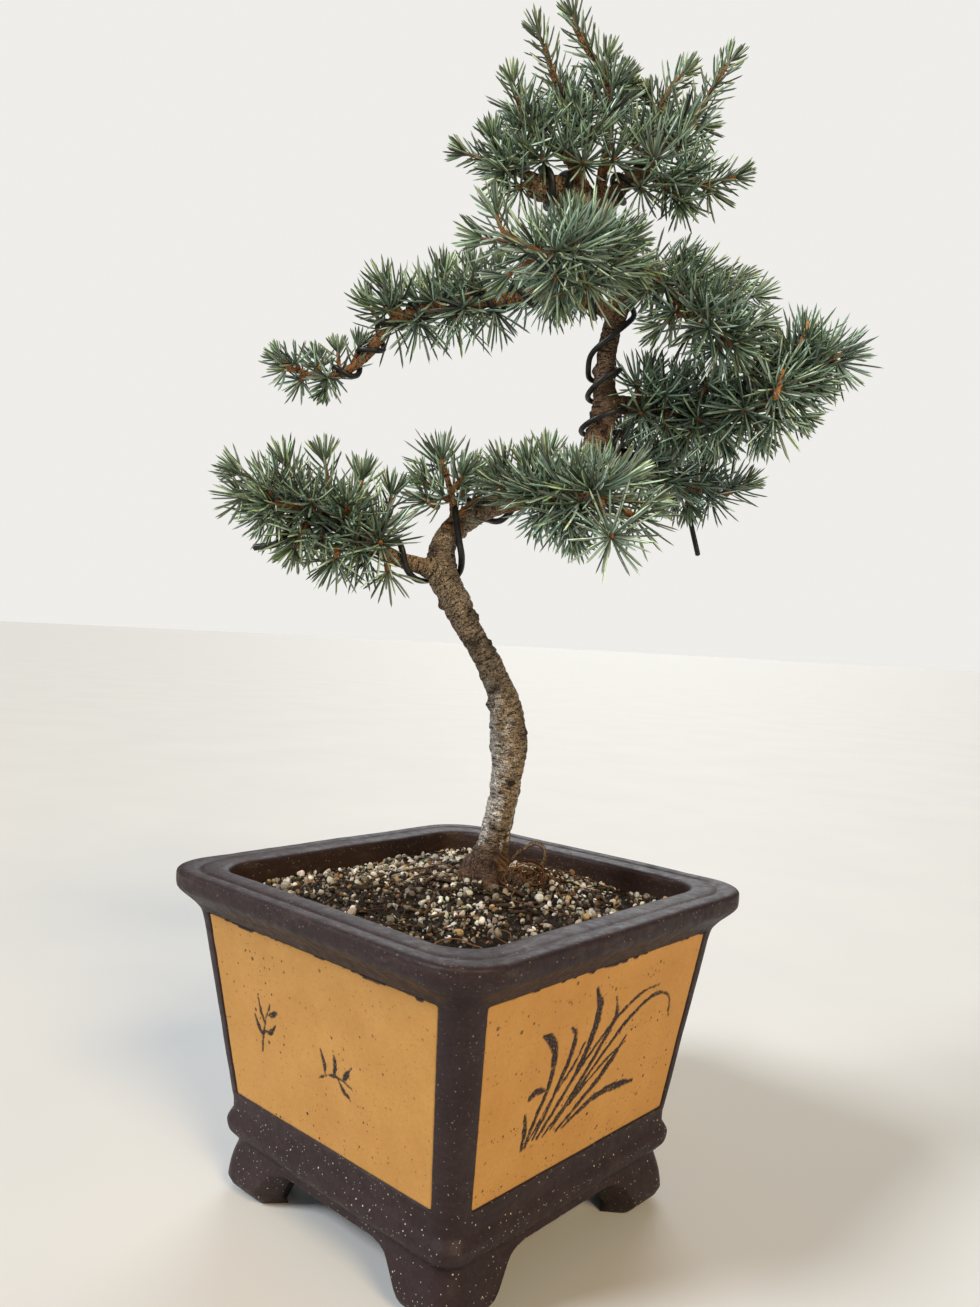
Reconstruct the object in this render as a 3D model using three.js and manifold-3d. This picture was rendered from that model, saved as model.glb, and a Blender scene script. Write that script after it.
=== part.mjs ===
// A bonsai blue cedar in a square clay pot: pot, inlaid clay panels, soil, wood, training wires and needles.
// Millimetres, +Z up. The pot's sides face -Y, +X, +Y and -X, and its feet stand on z = 0.
import * as THREE from "three";
import { mergeVertices } from "three/addons/utils/BufferGeometryUtils.js";
import Module from "manifold-3d";

const wasm = await Module();
wasm.setup();

// ---- Driving dimensions ----

const GAP = 0.3; // clear space kept between pieces that touch
const TREE_TURN = Math.PI / 4; // the tree's own left and right lie along the pot's diagonal

// Pot. Widths are half the square's side, radii are those of its plan corners.
const RIM_TOP = 133.4;
const RIM_HALF = 89.4;
const RIM_RADIUS = 22;
const OPENING_HALF = 72.3;
const OPENING_RADIUS = 15;
const PANEL_TOP = 115.6;
const PANEL_BOTTOM = 41.2;
const WALL_TOP_HALF = 78.1;
const WALL_BOTTOM_HALF = 66.9;
const PANEL_TOP_HALF = 66.6;
const PANEL_BOTTOM_HALF = 57.1;
const PANEL_CORNER = 3;
const PANEL_SINK = 0.4; // how far the panel's face lies behind the wall's face
const PANEL_THICK = 0.9;
const APRON_EDGE = 17.7; // lower edge of the wall between the feet
const ARCH_HALF_FLAT = 26;
const ARCH_HALF_BASE = 45;
const ARCH_KNEE = [36.2, 12.7];
const FOOT_INSIDE_HALF = 53;
const FLOOR_TOP = 24;
const CAVITY_LOW = { z: 30, half: 60, radius: 10 };
const CAVITY_HIGH = { z: 118, half: 70.5, radius: 15 };
const DRAIN_RADIUS = 9;

// Drain mesh and the bent wire that holds it.
const MESH_HALF = 16;
const MESH_THICK = 1;
const MESH_HOLES = 4;
const MESH_PITCH = 5.4;
const MESH_HOLE = 3.6;
const STAPLE_RADIUS = 0.7;
const STAPLE_HALF = 2.7;

// Soil.
const SOIL_BOTTOM = 28.5;
const SOIL_EDGE = 123.5;
const SOIL_MOUND = 8.5;
const SOIL_MOUND_WIDTH = 40;
const SOIL_CENTRE = [1.4, 12.7];

// ---- Wood, in the tree's own axes: [right, away, up, radius] ----

const TRUNK = [
  [10, 8, 119, 9],
  [10, 8, 128, 12],
  [10, 8, 134, 10.6],
  [12, 7, 141, 8],
  [14, 6, 151, 6.3],
  [16, 4, 166, 6.4],
  [17, 2, 181, 6.8],
  [17, 1, 191, 7],
  [14, -1, 206, 6.3],
  [10, -3, 216, 5.8],
  [4, -5, 227, 5.4],
  [-3, -7, 237, 5.4],
  [-8, -8, 247, 6.1],
  [-14, -9, 257, 6.2],
  [-15, -9, 267, 5.8],
  [-11, -8, 276, 5.4],
  [-3, -6, 283, 5],
  [7, -3, 289, 4.9],
  [20, 1, 295, 4.8],
  [34, 4, 301, 4.7],
  [44, 6, 308, 4.7],
  [49, 6, 317, 4.8],
  [51, 6, 327, 5.7],
  [51, 6, 335, 5.6],
  [50, 5, 345, 4.7],
  [50, 4, 356, 4.3],
  [52, 2, 367, 4.1],
  [54, 0, 377, 4],
  [54, -3, 390, 4.1],
  [50, -4, 402, 3.9],
  [43, -3, 412, 4],
];

const LIMBS = {
  leader: [
    [44, -3, 410, 3.8],
    [36, -3, 421, 3],
    [30, -4, 432, 2.4],
    [28, -5, 442, 2],
    [27, -6, 454, 1.7],
    [20, -8, 464, 1.3],
    [17, -8, 473, 1.1],
    [13, -8, 480, 0.8],
  ],
  leader_right: [
    [44, -3, 411, 3.8],
    [43, -4, 424, 2.4],
    [45, -6, 446, 1.9],
    [44, -7, 457, 1.7],
    [40, -8, 468, 1.4],
    [34, -9, 474, 1.2],
    [26, -10, 485, 0.8],
  ],
  stub: [
    [44, -3, 411, 4],
    [34, -4, 415, 5],
    [24, -6, 418, 5.4],
    [17, -8, 418, 5],
    [13, -8, 418, 3.6],
  ],
  apex_left: [
    [20, -7, 419, 3],
    [10, -8, 423, 2.2],
    [1, -8, 426, 1.8],
    [-8, -8, 428, 1.2],
  ],
  apex_left_up: [
    [28, -5, 432, 2.2],
    [18, -7, 438, 1.8],
    [10, -9, 444, 1.5],
    [6, -10, 453, 1.1],
  ],
  apex_right: [
    [44, -3, 413, 3.8],
    [50, -3, 421, 3.6],
    [56, -4, 427, 3.2],
    [61, -4, 434, 2.8],
    [64, -4, 442, 2.2],
    [66, -3, 454, 1.6],
    [71, -2, 468, 1],
  ],
  apex_right_up: [
    [63, -4, 435, 2.2],
    [70, -4, 442, 2],
    [79, -4, 450, 1.7],
    [86, -3, 463, 1.3],
    [92, -2, 477, 0.9],
  ],
  apex_right_low: [
    [58, -5, 428, 2.2],
    [70, -8, 424, 1.8],
    [83, -10, 423, 1.4],
    [97, -12, 425, 0.9],
  ],
  lower_left: [
    [-14, -9, 258, 4.6],
    [-24, -12, 261, 3.7],
    [-33, -14, 263, 3.2],
    [-46, -17, 269, 2.7],
    [-60, -19, 276, 2.2],
    [-71, -21, 280, 1.8],
    [-84, -23, 285, 1.2],
  ],
  low_spur: [
    [-11, -8, 275, 3.2],
    [-11, -12, 285, 2.4],
    [-13, -16, 295, 1.8],
    [-17, -20, 306, 1.1],
  ],
  front_low: [
    [-1, -4, 284, 3.8],
    [9, -20, 286, 3.2],
    [21, -36, 287, 2.7],
    [33, -50, 287, 2.2],
    [43, -59, 283, 1.5],
  ],
  back_low: [
    [47, 6, 312, 3.6],
    [61, 20, 314, 3],
    [80, 34, 312, 2.4],
    [99, 44, 308, 1.8],
    [116, 48, 306, 1.1],
  ],
  upper_left: [
    [54, 0, 371, 3.6],
    [37, -3, 375, 3.1],
    [20, -4, 376, 2.9],
    [3, -2, 373, 2.7],
    [-15, 0, 370, 2.6],
    [-30, 2, 367, 2.5],
    [-39, 4, 364, 2.5],
    [-46, 5, 356, 2.4],
    [-51, 6, 349, 2.2],
    [-60, 8, 342, 1.9],
    [-70, 9, 339, 1.6],
    [-82, 11, 343, 1.1],
  ],
  front_high: [
    [54, -3, 388, 3.4],
    [46, -18, 386, 2.9],
    [36, -35, 381, 2.4],
    [27, -49, 376, 1.9],
    [18, -56, 372, 1.3],
  ],
  back_high: [
    [51, -4, 398, 3.2],
    [46, 12, 399, 2.7],
    [38, 28, 396, 2.2],
    [28, 42, 393, 1.6],
    [18, 52, 392, 1],
  ],
  right_high: [
    [55, -3, 384, 3],
    [64, -9, 388, 2.5],
    [70, -15, 379, 2.1],
    [77, -20, 367, 1.8],
    [87, -23, 361, 1.5],
    [97, -25, 352, 1.1],
  ],
  right_low: [
    [51, 6, 335, 4.6],
    [67, 12, 336, 3.6],
    [85, 15, 335, 3.1],
    [101, 11, 333, 2.7],
    [111, 0, 334, 2.3],
    [117, -12, 338, 1.8],
    [123, -14, 352, 1.3],
    [128, -14, 364, 0.9],
  ],
  right_tip: [
    [116, -8, 336, 1.8],
    [124, -12, 345, 1.5],
    [135, -14, 352, 1.2],
    [147, -16, 358, 0.8],
  ],
};

const ROOTS = {
  root_right: [
    [12, 6, 133, 6],
    [24, 1, 131, 3.4],
    [34, -6, 123, 2.2],
  ],
  root_left: [
    [8, 6, 133, 6],
    [-2, 3, 130, 3.6],
    [-12, -4, 122, 2.2],
  ],
  root_front: [
    [11, 4, 133, 6],
    [12, -7, 130, 3.6],
    [8, -18, 122, 2.2],
  ],
  root_back: [
    [10, 11, 133, 6],
    [6, 22, 130, 3.4],
    [8, 34, 122, 2.2],
  ],
  root_loop: [
    [14, 7, 135, 3],
    [24, 5, 142, 1.8],
    [31, 4, 147.5, 1.6],
    [36.5, 3.5, 146, 1.5],
    [36, 2, 140.5, 1.5],
    [29, 1, 137, 1.6],
    [25, 0, 130, 1.8],
  ],
};

// ---- Training wires: coils round a limb ----
// from and to are shares of the limb's length; ends are points added before and after the coil.

const WIRE_ROUND_TRUNK = 1.5;
const WIRE_ROUND_LIMB = 1.2;
const WIRES = {
  wire_trunk_high: { on: TRUNK, from: 0.655, to: 0.84, turns: 5, phase: 2.4, radius: WIRE_ROUND_TRUNK },
  wire_trunk_low: { on: TRUNK, from: 0.425, to: 0.52, turns: 1.6, phase: 4, radius: WIRE_ROUND_TRUNK },
  wire_lower_left: {
    on: LIMBS.lower_left,
    from: 0.2,
    to: 0.86,
    turns: 6,
    phase: 0.6,
    radius: WIRE_ROUND_LIMB,
    end: [
      [-80, -25, 271],
      [-87, -23, 264],
    ],
  },
  wire_upper_left: {
    on: LIMBS.upper_left,
    from: 0.06,
    to: 0.86,
    turns: 10,
    phase: 1,
    radius: WIRE_ROUND_LIMB,
  },
  wire_back_low: {
    on: LIMBS.back_low,
    from: 0.16,
    to: 0.72,
    turns: 5,
    phase: 0,
    radius: WIRE_ROUND_LIMB,
    end: [
      [99, 47, 296],
      [104, 46, 277],
    ],
  },
  wire_right_low: {
    on: LIMBS.right_low,
    from: 0.14,
    to: 0.56,
    turns: 6,
    phase: 0,
    radius: WIRE_ROUND_LIMB,
    end: [[107, -7, 345]],
  },
  wire_stub: {
    on: LIMBS.stub,
    from: 0.42,
    to: 0.86,
    turns: 1.7,
    phase: 0.4,
    radius: WIRE_ROUND_TRUNK,
  },
  wire_apex_right: {
    on: LIMBS.apex_right,
    from: 0.1,
    to: 0.42,
    turns: 2.5,
    phase: 0,
    radius: WIRE_ROUND_LIMB,
  },
};

// ---- Needle pads: lumps that reach the needle tips, [right, away, up, half widths along each] ----

const PADS = {
  needles_lower_left: [
    [-78, -21, 284, 27, 23, 25],
    [-47, -17, 276, 21, 21, 26],
  ],
  needles_low_spur: [[-10, -17, 300, 18, 17, 18]],
  needles_front_low: [
    [24, -40, 290, 25, 24, 24],
    [46, -58, 280, 20, 18, 21],
  ],
  needles_back_low: [
    [75, 33, 312, 24, 21, 18],
    [105, 46, 308, 23, 17, 17],
  ],
  needles_upper_left: [
    [-12, 0, 374, 21, 18, 20],
    [-37, 3, 372, 19, 17, 21],
  ],
  needles_left_tip: [[-70, 9, 344, 25, 17, 14]],
  needles_front_high: [
    [32, -40, 378, 26, 22, 27],
    [5, -44, 379, 22, 18, 19],
  ],
  needles_back_high: [[30, 38, 394, 24, 23, 19]],
  needles_right_high: [
    [80, -18, 375, 21, 19, 20],
    [100, -22, 363, 19, 17, 19],
  ],
  needles_right_low: [[82, 13, 336, 21, 18, 19]],
  needles_right_end: [
    [116, -6, 334, 22, 22, 22],
    [128, -14, 352, 19, 17, 20],
    [143, -15, 356, 16, 12, 12],
  ],
  needles_apex_left: [
    [-3, -8, 427, 18, 18, 18],
    [6, -10, 449, 16, 17, 18],
  ],
  needles_apex_top: [
    [18, -8, 473, 16, 15, 18],
    [37, -8, 464, 14, 16, 20],
    [28, -10, 482, 15, 13, 14],
  ],
  needles_apex_right: [
    [66, -3, 456, 18, 19, 24],
    [88, -3, 467, 17, 15, 20],
  ],
  needles_apex_low: [[87, -11, 425, 22, 15, 15]],
};

// ---- Materials ----

function material(colour, roughness, metalness = 0) {
  return new THREE.MeshStandardMaterial({ color: colour, roughness, metalness });
}

const CLAY = material(0x42373d, 0.75);
const SLIP = material(0xc4955a, 0.85);
const PLASTIC = material(0x20211f, 0.6);
const WIRE = material(0x141414, 0.45, 0.4);
const SOIL = material(0x4a3d30, 0.95);
const BARK = material(0x7a6552, 0.9);
const NEEDLE = material(0x6f8c86, 0.6);

// ---- Solids ----

function solid(geometry) {
  const bare = geometry.clone();
  bare.deleteAttribute("normal");
  bare.deleteAttribute("uv");
  const merged = mergeVertices(bare, 1e-3);
  const mesh = new wasm.Mesh({
    numProp: 3,
    vertProperties: new Float32Array(merged.attributes.position.array),
    triVerts: new Uint32Array(merged.index.array),
  });
  return new wasm.Manifold(mesh);
}

function geometryOf(body) {
  const mesh = body.getMesh();
  const geometry = new THREE.BufferGeometry();
  geometry.setAttribute("position", new THREE.BufferAttribute(mesh.vertProperties, 3));
  geometry.setIndex(new THREE.BufferAttribute(mesh.triVerts, 1));
  geometry.computeVertexNormals();
  return geometry;
}

function joined(bodies) {
  return bodies.reduce((all, body) => all.add(body));
}

function largest(body) {
  return body.decompose().reduce((best, part) => (part.volume() > best.volume() ? part : best));
}

// Rings of points, one above the other, closed by a fan at each end.
function loft(rings) {
  const count = rings[0].length;
  const points = rings.flat();
  const faces = [];
  for (let i = 0; i + 1 < rings.length; i += 1) {
    for (let j = 0; j < count; j += 1) {
      const a = i * count + j;
      const b = i * count + ((j + 1) % count);
      faces.push(a, b, b + count, a, b + count, a + count);
    }
  }
  const middle = (ring) => ring.reduce((sum, p) => sum.add(p), new THREE.Vector3()).divideScalar(count);
  const low = points.push(middle(rings[0])) - 1;
  const high = points.push(middle(rings.at(-1))) - 1;
  const top = (rings.length - 1) * count;
  for (let j = 0; j < count; j += 1) {
    const next = (j + 1) % count;
    faces.push(low, next, j, high, top + j, top + next);
  }
  const geometry = new THREE.BufferGeometry().setFromPoints(points);
  geometry.setIndex(faces);
  return geometry;
}

const CORNER_STEPS = 3;

function squareRing(z, half, radius) {
  const ring = [];
  for (let corner = 0; corner < 4; corner += 1) {
    for (let step = 0; step <= CORNER_STEPS; step += 1) {
      const angle = ((corner + step / CORNER_STEPS) * Math.PI) / 2;
      const turn = ((corner + 0.5) * Math.PI) / 2;
      const centreX = Math.sign(Math.cos(turn)) * (half - radius);
      const centreY = Math.sign(Math.sin(turn)) * (half - radius);
      ring.push(
        new THREE.Vector3(centreX + radius * Math.cos(angle), centreY + radius * Math.sin(angle), z),
      );
    }
  }
  return ring;
}

// A limb that tapers from point to point, and the clear space round it when grow is given.
function limb(points, sides, grow = 0) {
  const curve = new THREE.CatmullRomCurve3(
    points.map(([x, y, z]) => new THREE.Vector3(x, y, z)),
    false,
    "centripetal",
  );
  const last = points.length - 1;
  const steps = last;
  const frames = curve.computeFrenetFrames(steps, false);
  const rings = [];
  for (let i = 0; i <= steps; i += 1) {
    const place = curve.getUtoTmapping(i / steps) * last;
    const k = Math.min(Math.floor(place), last - 1);
    const radius = THREE.MathUtils.lerp(points[k][3], points[k + 1][3], place - k) + grow;
    const centre = curve.getPointAt(i / steps);
    if (i === 0) {
      centre.addScaledVector(frames.tangents[i], -grow);
    }
    if (i === steps) {
      centre.addScaledVector(frames.tangents[i], grow);
    }
    const ring = [];
    for (let j = 0; j < sides; j += 1) {
      const angle = (j / sides) * 2 * Math.PI;
      ring.push(
        centre
          .clone()
          .addScaledVector(frames.normals[i], radius * Math.cos(angle))
          .addScaledVector(frames.binormals[i], radius * Math.sin(angle)),
      );
    }
    rings.push(ring);
  }
  return loft(rings);
}

const TRUNK_SIDES = 9;
const LIMB_SIDES = 6;

function wood(grow = 0) {
  const parts = [...Object.values(LIMBS), ...Object.values(ROOTS)];
  return joined([
    solid(limb(TRUNK, TRUNK_SIDES, grow)),
    ...parts.map((points) => solid(limb(points, LIMB_SIDES, grow))),
  ]);
}

// The points of a wire coiled round a limb.
const COIL_STEPS = 7;
const COIL_CLEAR = 0.7;

function coil({ on, from, to, turns, phase, radius, end = [] }) {
  const curve = new THREE.CatmullRomCurve3(
    on.map(([x, y, z]) => new THREE.Vector3(x, y, z)),
    false,
    "centripetal",
  );
  const last = on.length - 1;
  const samples = Math.ceil(turns * COIL_STEPS);
  const frames = curve.computeFrenetFrames(200, false);
  const points = [];
  for (let i = 0; i <= samples; i += 1) {
    const u = THREE.MathUtils.lerp(from, to, i / samples);
    const place = curve.getUtoTmapping(u) * last;
    const k = Math.min(Math.floor(place), last - 1);
    const bark = THREE.MathUtils.lerp(on[k][3], on[k + 1][3], place - k);
    const frame = Math.round(u * 200);
    const angle = phase + (i / samples) * turns * 2 * Math.PI;
    const away = bark + radius + COIL_CLEAR;
    points.push(
      curve
        .getPointAt(u)
        .addScaledVector(frames.normals[frame], away * Math.cos(angle))
        .addScaledVector(frames.binormals[frame], away * Math.sin(angle)),
    );
  }
  return [...points, ...end.map((p) => new THREE.Vector3(...p))];
}

const WIRE_SIDES = 5;

function wire(shape) {
  const points = coil(shape);
  const outline = new THREE.Shape();
  for (let j = 0; j < WIRE_SIDES; j += 1) {
    const angle = (j / WIRE_SIDES) * 2 * Math.PI;
    const x = shape.radius * Math.cos(angle);
    const y = shape.radius * Math.sin(angle);
    if (j === 0) {
      outline.moveTo(x, y);
    } else {
      outline.lineTo(x, y);
    }
  }
  const path = new THREE.CatmullRomCurve3(points, false, "centripetal");
  return new THREE.ExtrudeGeometry(outline, {
    steps: points.length - 1,
    bevelEnabled: false,
    extrudePath: path,
  });
}

// The clear space round a wire: a tube round its limb, and one along its free end.
const SLEEVE_SIDES = 8;
const SLEEVE_CLEAR = 1.6;

function sleeve(shape) {
  const wide = 2 * shape.radius + COIL_CLEAR + SLEEVE_CLEAR;
  const round = solid(limb(shape.on, SLEEVE_SIDES, wide));
  if (!shape.end) {
    return round;
  }
  const tail = coil(shape).slice(-shape.end.length - 3);
  const along = tail.map((p) => [p.x, p.y, p.z, shape.radius]);
  return round.add(solid(limb(along, SLEEVE_SIDES, SLEEVE_CLEAR)));
}

// ---- Pot ----

const WALL_STATIONS = [
  [0, 62.4, 9],
  [4, 66.1, 9],
  [6.7, 67, 9.5],
  [13, 66, 9],
  [20.3, 64.4, 9],
  [25.5, 66.9, 9],
  [28.5, 67.2, 9],
  [36, 66, 9],
  [PANEL_BOTTOM, WALL_BOTTOM_HALF, 9],
  [PANEL_TOP, WALL_TOP_HALF, 9.5],
  [119.4, 81.2, 11],
  [122.5, 84.8, 14.5],
  [125.5, 88.3, 20],
  [127.5, RIM_HALF, RIM_RADIUS],
  [131, RIM_HALF, RIM_RADIUS],
  [132.6, 88.4, 21],
  [RIM_TOP, 86.2, 20],
];

function cavityHalf(z) {
  const share = (z - CAVITY_LOW.z) / (CAVITY_HIGH.z - CAVITY_LOW.z);
  return THREE.MathUtils.lerp(CAVITY_LOW.half, CAVITY_HIGH.half, share);
}

function archGeometry() {
  const arch = new THREE.Shape();
  const [kneeHalf, kneeRise] = ARCH_KNEE;
  const shoulder = 33;
  arch.moveTo(-ARCH_HALF_BASE - 0.6, -1);
  arch.lineTo(-kneeHalf, kneeRise);
  arch.quadraticCurveTo(-shoulder, APRON_EDGE, -ARCH_HALF_FLAT, APRON_EDGE);
  arch.lineTo(ARCH_HALF_FLAT, APRON_EDGE);
  arch.quadraticCurveTo(shoulder, APRON_EDGE, kneeHalf, kneeRise);
  arch.lineTo(ARCH_HALF_BASE + 0.6, -1);
  const length = 2 * RIM_HALF;
  const geometry = new THREE.ExtrudeGeometry(arch, { depth: length, bevelEnabled: false, curveSegments: 5 });
  geometry.translate(0, 0, -length / 2);
  geometry.rotateX(Math.PI / 2);
  return geometry;
}

const PANEL_SLOPE = Math.hypot(PANEL_TOP - PANEL_BOTTOM, WALL_TOP_HALF - WALL_BOTTOM_HALF);

function panelShape(margin) {
  const low = PANEL_BOTTOM_HALF + margin;
  const high = PANEL_TOP_HALF + margin;
  const foot = -margin;
  const head = PANEL_SLOPE + margin;
  const shape = new THREE.Shape();
  shape.moveTo(-low + PANEL_CORNER, foot);
  shape.lineTo(low - PANEL_CORNER, foot);
  shape.quadraticCurveTo(low, foot, low, foot + PANEL_CORNER);
  shape.lineTo(high, head - PANEL_CORNER);
  shape.quadraticCurveTo(high, head, high - PANEL_CORNER, head);
  shape.lineTo(-high + PANEL_CORNER, head);
  shape.quadraticCurveTo(-high, head, -high, head - PANEL_CORNER);
  shape.lineTo(-low, foot + PANEL_CORNER);
  shape.quadraticCurveTo(-low, foot, -low + PANEL_CORNER, foot);
  return shape;
}

// A slab in the plane of the wall that faces -Y, from one depth to another along the wall's normal,
// turned about the pot's axis by quarter turns.
function slab(margin, from, to, quarter) {
  const geometry = new THREE.ExtrudeGeometry(panelShape(margin), {
    depth: to - from,
    bevelEnabled: false,
    curveSegments: 3,
  });
  geometry.translate(0, 0, from);
  const lean = Math.atan2(WALL_TOP_HALF - WALL_BOTTOM_HALF, PANEL_TOP - PANEL_BOTTOM);
  geometry.rotateX(Math.PI / 2 + lean);
  geometry.translate(0, -WALL_BOTTOM_HALF, PANEL_BOTTOM);
  geometry.rotateZ((quarter * Math.PI) / 2);
  return geometry;
}

function potBody() {
  const outside = solid(loft(WALL_STATIONS.map((station) => squareRing(...station))));
  const inside = solid(
    loft([
      squareRing(FLOOR_TOP, CAVITY_LOW.half - 3, CAVITY_LOW.radius - 1),
      squareRing(CAVITY_LOW.z, CAVITY_LOW.half, CAVITY_LOW.radius),
      squareRing(CAVITY_HIGH.z, CAVITY_HIGH.half, CAVITY_HIGH.radius),
      squareRing(RIM_TOP - 1.5, OPENING_HALF, OPENING_RADIUS),
      squareRing(RIM_TOP + 1, OPENING_HALF + 2.5, OPENING_RADIUS + 2),
    ]),
  );
  const underside = solid(
    loft([
      squareRing(-1, FOOT_INSIDE_HALF, 6),
      squareRing(APRON_EDGE, FOOT_INSIDE_HALF - 2, 6),
    ]),
  );
  const arch = archGeometry();
  const drain = new THREE.CylinderGeometry(DRAIN_RADIUS, DRAIN_RADIUS, 2 * FLOOR_TOP, 20);
  drain.rotateX(Math.PI / 2);
  let pot = outside.subtract(inside).subtract(underside);
  pot = pot.subtract(solid(arch)).subtract(solid(arch.clone().rotateZ(Math.PI / 2)));
  pot = pot.subtract(solid(drain));
  const back = -PANEL_SINK - PANEL_THICK - GAP;
  for (let quarter = 0; quarter < 4; quarter += 1) {
    pot = pot.subtract(solid(slab(GAP, back, 4, quarter)));
  }
  return pot;
}

// ---- Drain mesh and its staple ----

function drainMesh() {
  const thick = MESH_THICK;
  let plate = solid(new THREE.BoxGeometry(2 * MESH_HALF, 2 * MESH_HALF, thick));
  const first = (-(MESH_HOLES - 1) / 2) * MESH_PITCH;
  for (let i = 0; i < MESH_HOLES; i += 1) {
    for (let j = 0; j < MESH_HOLES; j += 1) {
      const hole = new THREE.BoxGeometry(MESH_HOLE, MESH_HOLE, 2 * thick);
      hole.translate(first + i * MESH_PITCH, first + j * MESH_PITCH, 0);
      plate = plate.subtract(solid(hole));
    }
  }
  return geometryOf(plate).translate(0, 0, FLOOR_TOP + GAP + thick / 2);
}

// The wire lies over the mesh, goes down through two of its holes and turns out under the pot's floor.
function stapleGeometry() {
  const over = FLOOR_TOP + GAP + MESH_THICK + STAPLE_RADIUS + GAP;
  const under = APRON_EDGE - STAPLE_RADIUS - GAP;
  const leg = STAPLE_HALF;
  const path = new THREE.CurvePath();
  const corners = [
    [-DRAIN_RADIUS - 6, under],
    [-leg, under],
    [-leg, over],
    [leg, over],
    [leg, under],
    [DRAIN_RADIUS + 6, under],
  ].map(([x, z]) => new THREE.Vector3(x, MESH_PITCH / 2, z));
  const bend = 1.6;
  let start = corners[0];
  for (let i = 1; i + 1 < corners.length; i += 1) {
    const into = corners[i].clone().add(corners[i - 1].clone().sub(corners[i]).setLength(bend));
    const out = corners[i].clone().add(corners[i + 1].clone().sub(corners[i]).setLength(bend));
    path.add(new THREE.LineCurve3(start, into));
    path.add(new THREE.QuadraticBezierCurve3(into, corners[i], out));
    start = out;
  }
  path.add(new THREE.LineCurve3(start, corners.at(-1)));
  const outline = new THREE.Shape();
  outline.absarc(0, 0, STAPLE_RADIUS, 0, 2 * Math.PI);
  return new THREE.ExtrudeGeometry(outline, {
    steps: 32,
    bevelEnabled: false,
    curveSegments: 2,
    extrudePath: path,
  });
}

// ---- Soil ----

function soilHeight(x, y) {
  const far = Math.hypot(x - SOIL_CENTRE[0], y - SOIL_CENTRE[1]) / SOIL_MOUND_WIDTH;
  const ripple = 0.7 * Math.sin(x / 9 + 1) * Math.cos(y / 11);
  return SOIL_EDGE + SOIL_MOUND * Math.exp(-far * far) + ripple;
}

function soilMass() {
  const clear = 0.45;
  const rings = [
    squareRing(SOIL_BOTTOM, cavityHalf(SOIL_BOTTOM) - 1.2, CAVITY_LOW.radius),
    squareRing(SOIL_EDGE - 5, cavityHalf(CAVITY_HIGH.z) - clear, CAVITY_HIGH.radius),
  ];
  for (const share of [1, 0.82, 0.62, 0.42, 0.2]) {
    const ring = squareRing(0, cavityHalf(CAVITY_HIGH.z) - clear, CAVITY_HIGH.radius);
    const [cx, cy] = SOIL_CENTRE;
    for (const point of ring) {
      point.x = THREE.MathUtils.lerp(cx, point.x, share);
      point.y = THREE.MathUtils.lerp(cy, point.y, share);
      point.z = soilHeight(point.x, point.y);
    }
    rings.push(ring);
  }
  return solid(loft(rings));
}

// ---- Needle pads ----

function lump([x, y, z, right, away, up], grow) {
  const geometry = new THREE.SphereGeometry(1, 8, 6);
  geometry.rotateX(Math.PI / 2);
  geometry.scale(right + grow, away + grow, up + grow);
  geometry.translate(x, y, z);
  return solid(geometry);
}

// ---- Scene ----

const object = new THREE.Group();
const tree = new THREE.Group();
tree.rotation.z = TREE_TURN;
object.add(tree);

function place(name, geometry, finish, parent = object) {
  const mesh = new THREE.Mesh(geometry, finish);
  mesh.name = name;
  parent.add(mesh);
}

place("pot_body", geometryOf(potBody()), CLAY);
["front_left", "front_right", "back_right", "back_left"].forEach((side, quarter) => {
  const face = slab(0, -PANEL_SINK - PANEL_THICK, -PANEL_SINK, quarter);
  place(`panel_${side}`, face, SLIP);
});
place("drain_mesh", drainMesh(), PLASTIC);
place("mesh_staple", stapleGeometry(), WIRE);

const timber = wood();
place("tree_wood", geometryOf(timber), BARK, tree);

const turned = new THREE.Matrix4().makeRotationZ(TREE_TURN);
const rootSpace = solid(geometryOf(wood(0.4)).applyMatrix4(turned));
place("soil_mass", geometryOf(largest(soilMass().subtract(rootSpace))), SOIL);

const barkSpace = wood(0.2);
let filled = wood(0.5);
for (const [name, shape] of Object.entries(WIRES)) {
  const body = largest(solid(wire(shape)).subtract(barkSpace));
  place(name, geometryOf(body), WIRE, tree);
  filled = filled.add(sleeve(shape));
}

for (const [name, lumps] of Object.entries(PADS)) {
  const pad = joined(lumps.map((shape) => lump(shape, 0)));
  place(name, geometryOf(largest(pad.subtract(filled))), NEEDLE, tree);
  filled = filled.add(joined(lumps.map((shape) => lump(shape, 0.5))));
}

// The origin is under the middle of the whole object, on the surface that it stands on.
const reach = new THREE.Box3().setFromObject(object, true);
const middle = reach.getCenter(new THREE.Vector3());
object.position.set(-middle.x, -middle.y, 0);

export default object;
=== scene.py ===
"""A bonsai blue cedar in a square clay pot: its looks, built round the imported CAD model.

Shapes are worked out in millimetres, either in the pot's axes (about its middle, sides square to X and Y)
or in the tree's own axes (right, away, up), and are put in the row frame in metres by new_piece.
"""
import math
import bmesh
import bpy
import numpy as np
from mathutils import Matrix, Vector
from mathutils.kdtree import KDTree


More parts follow.
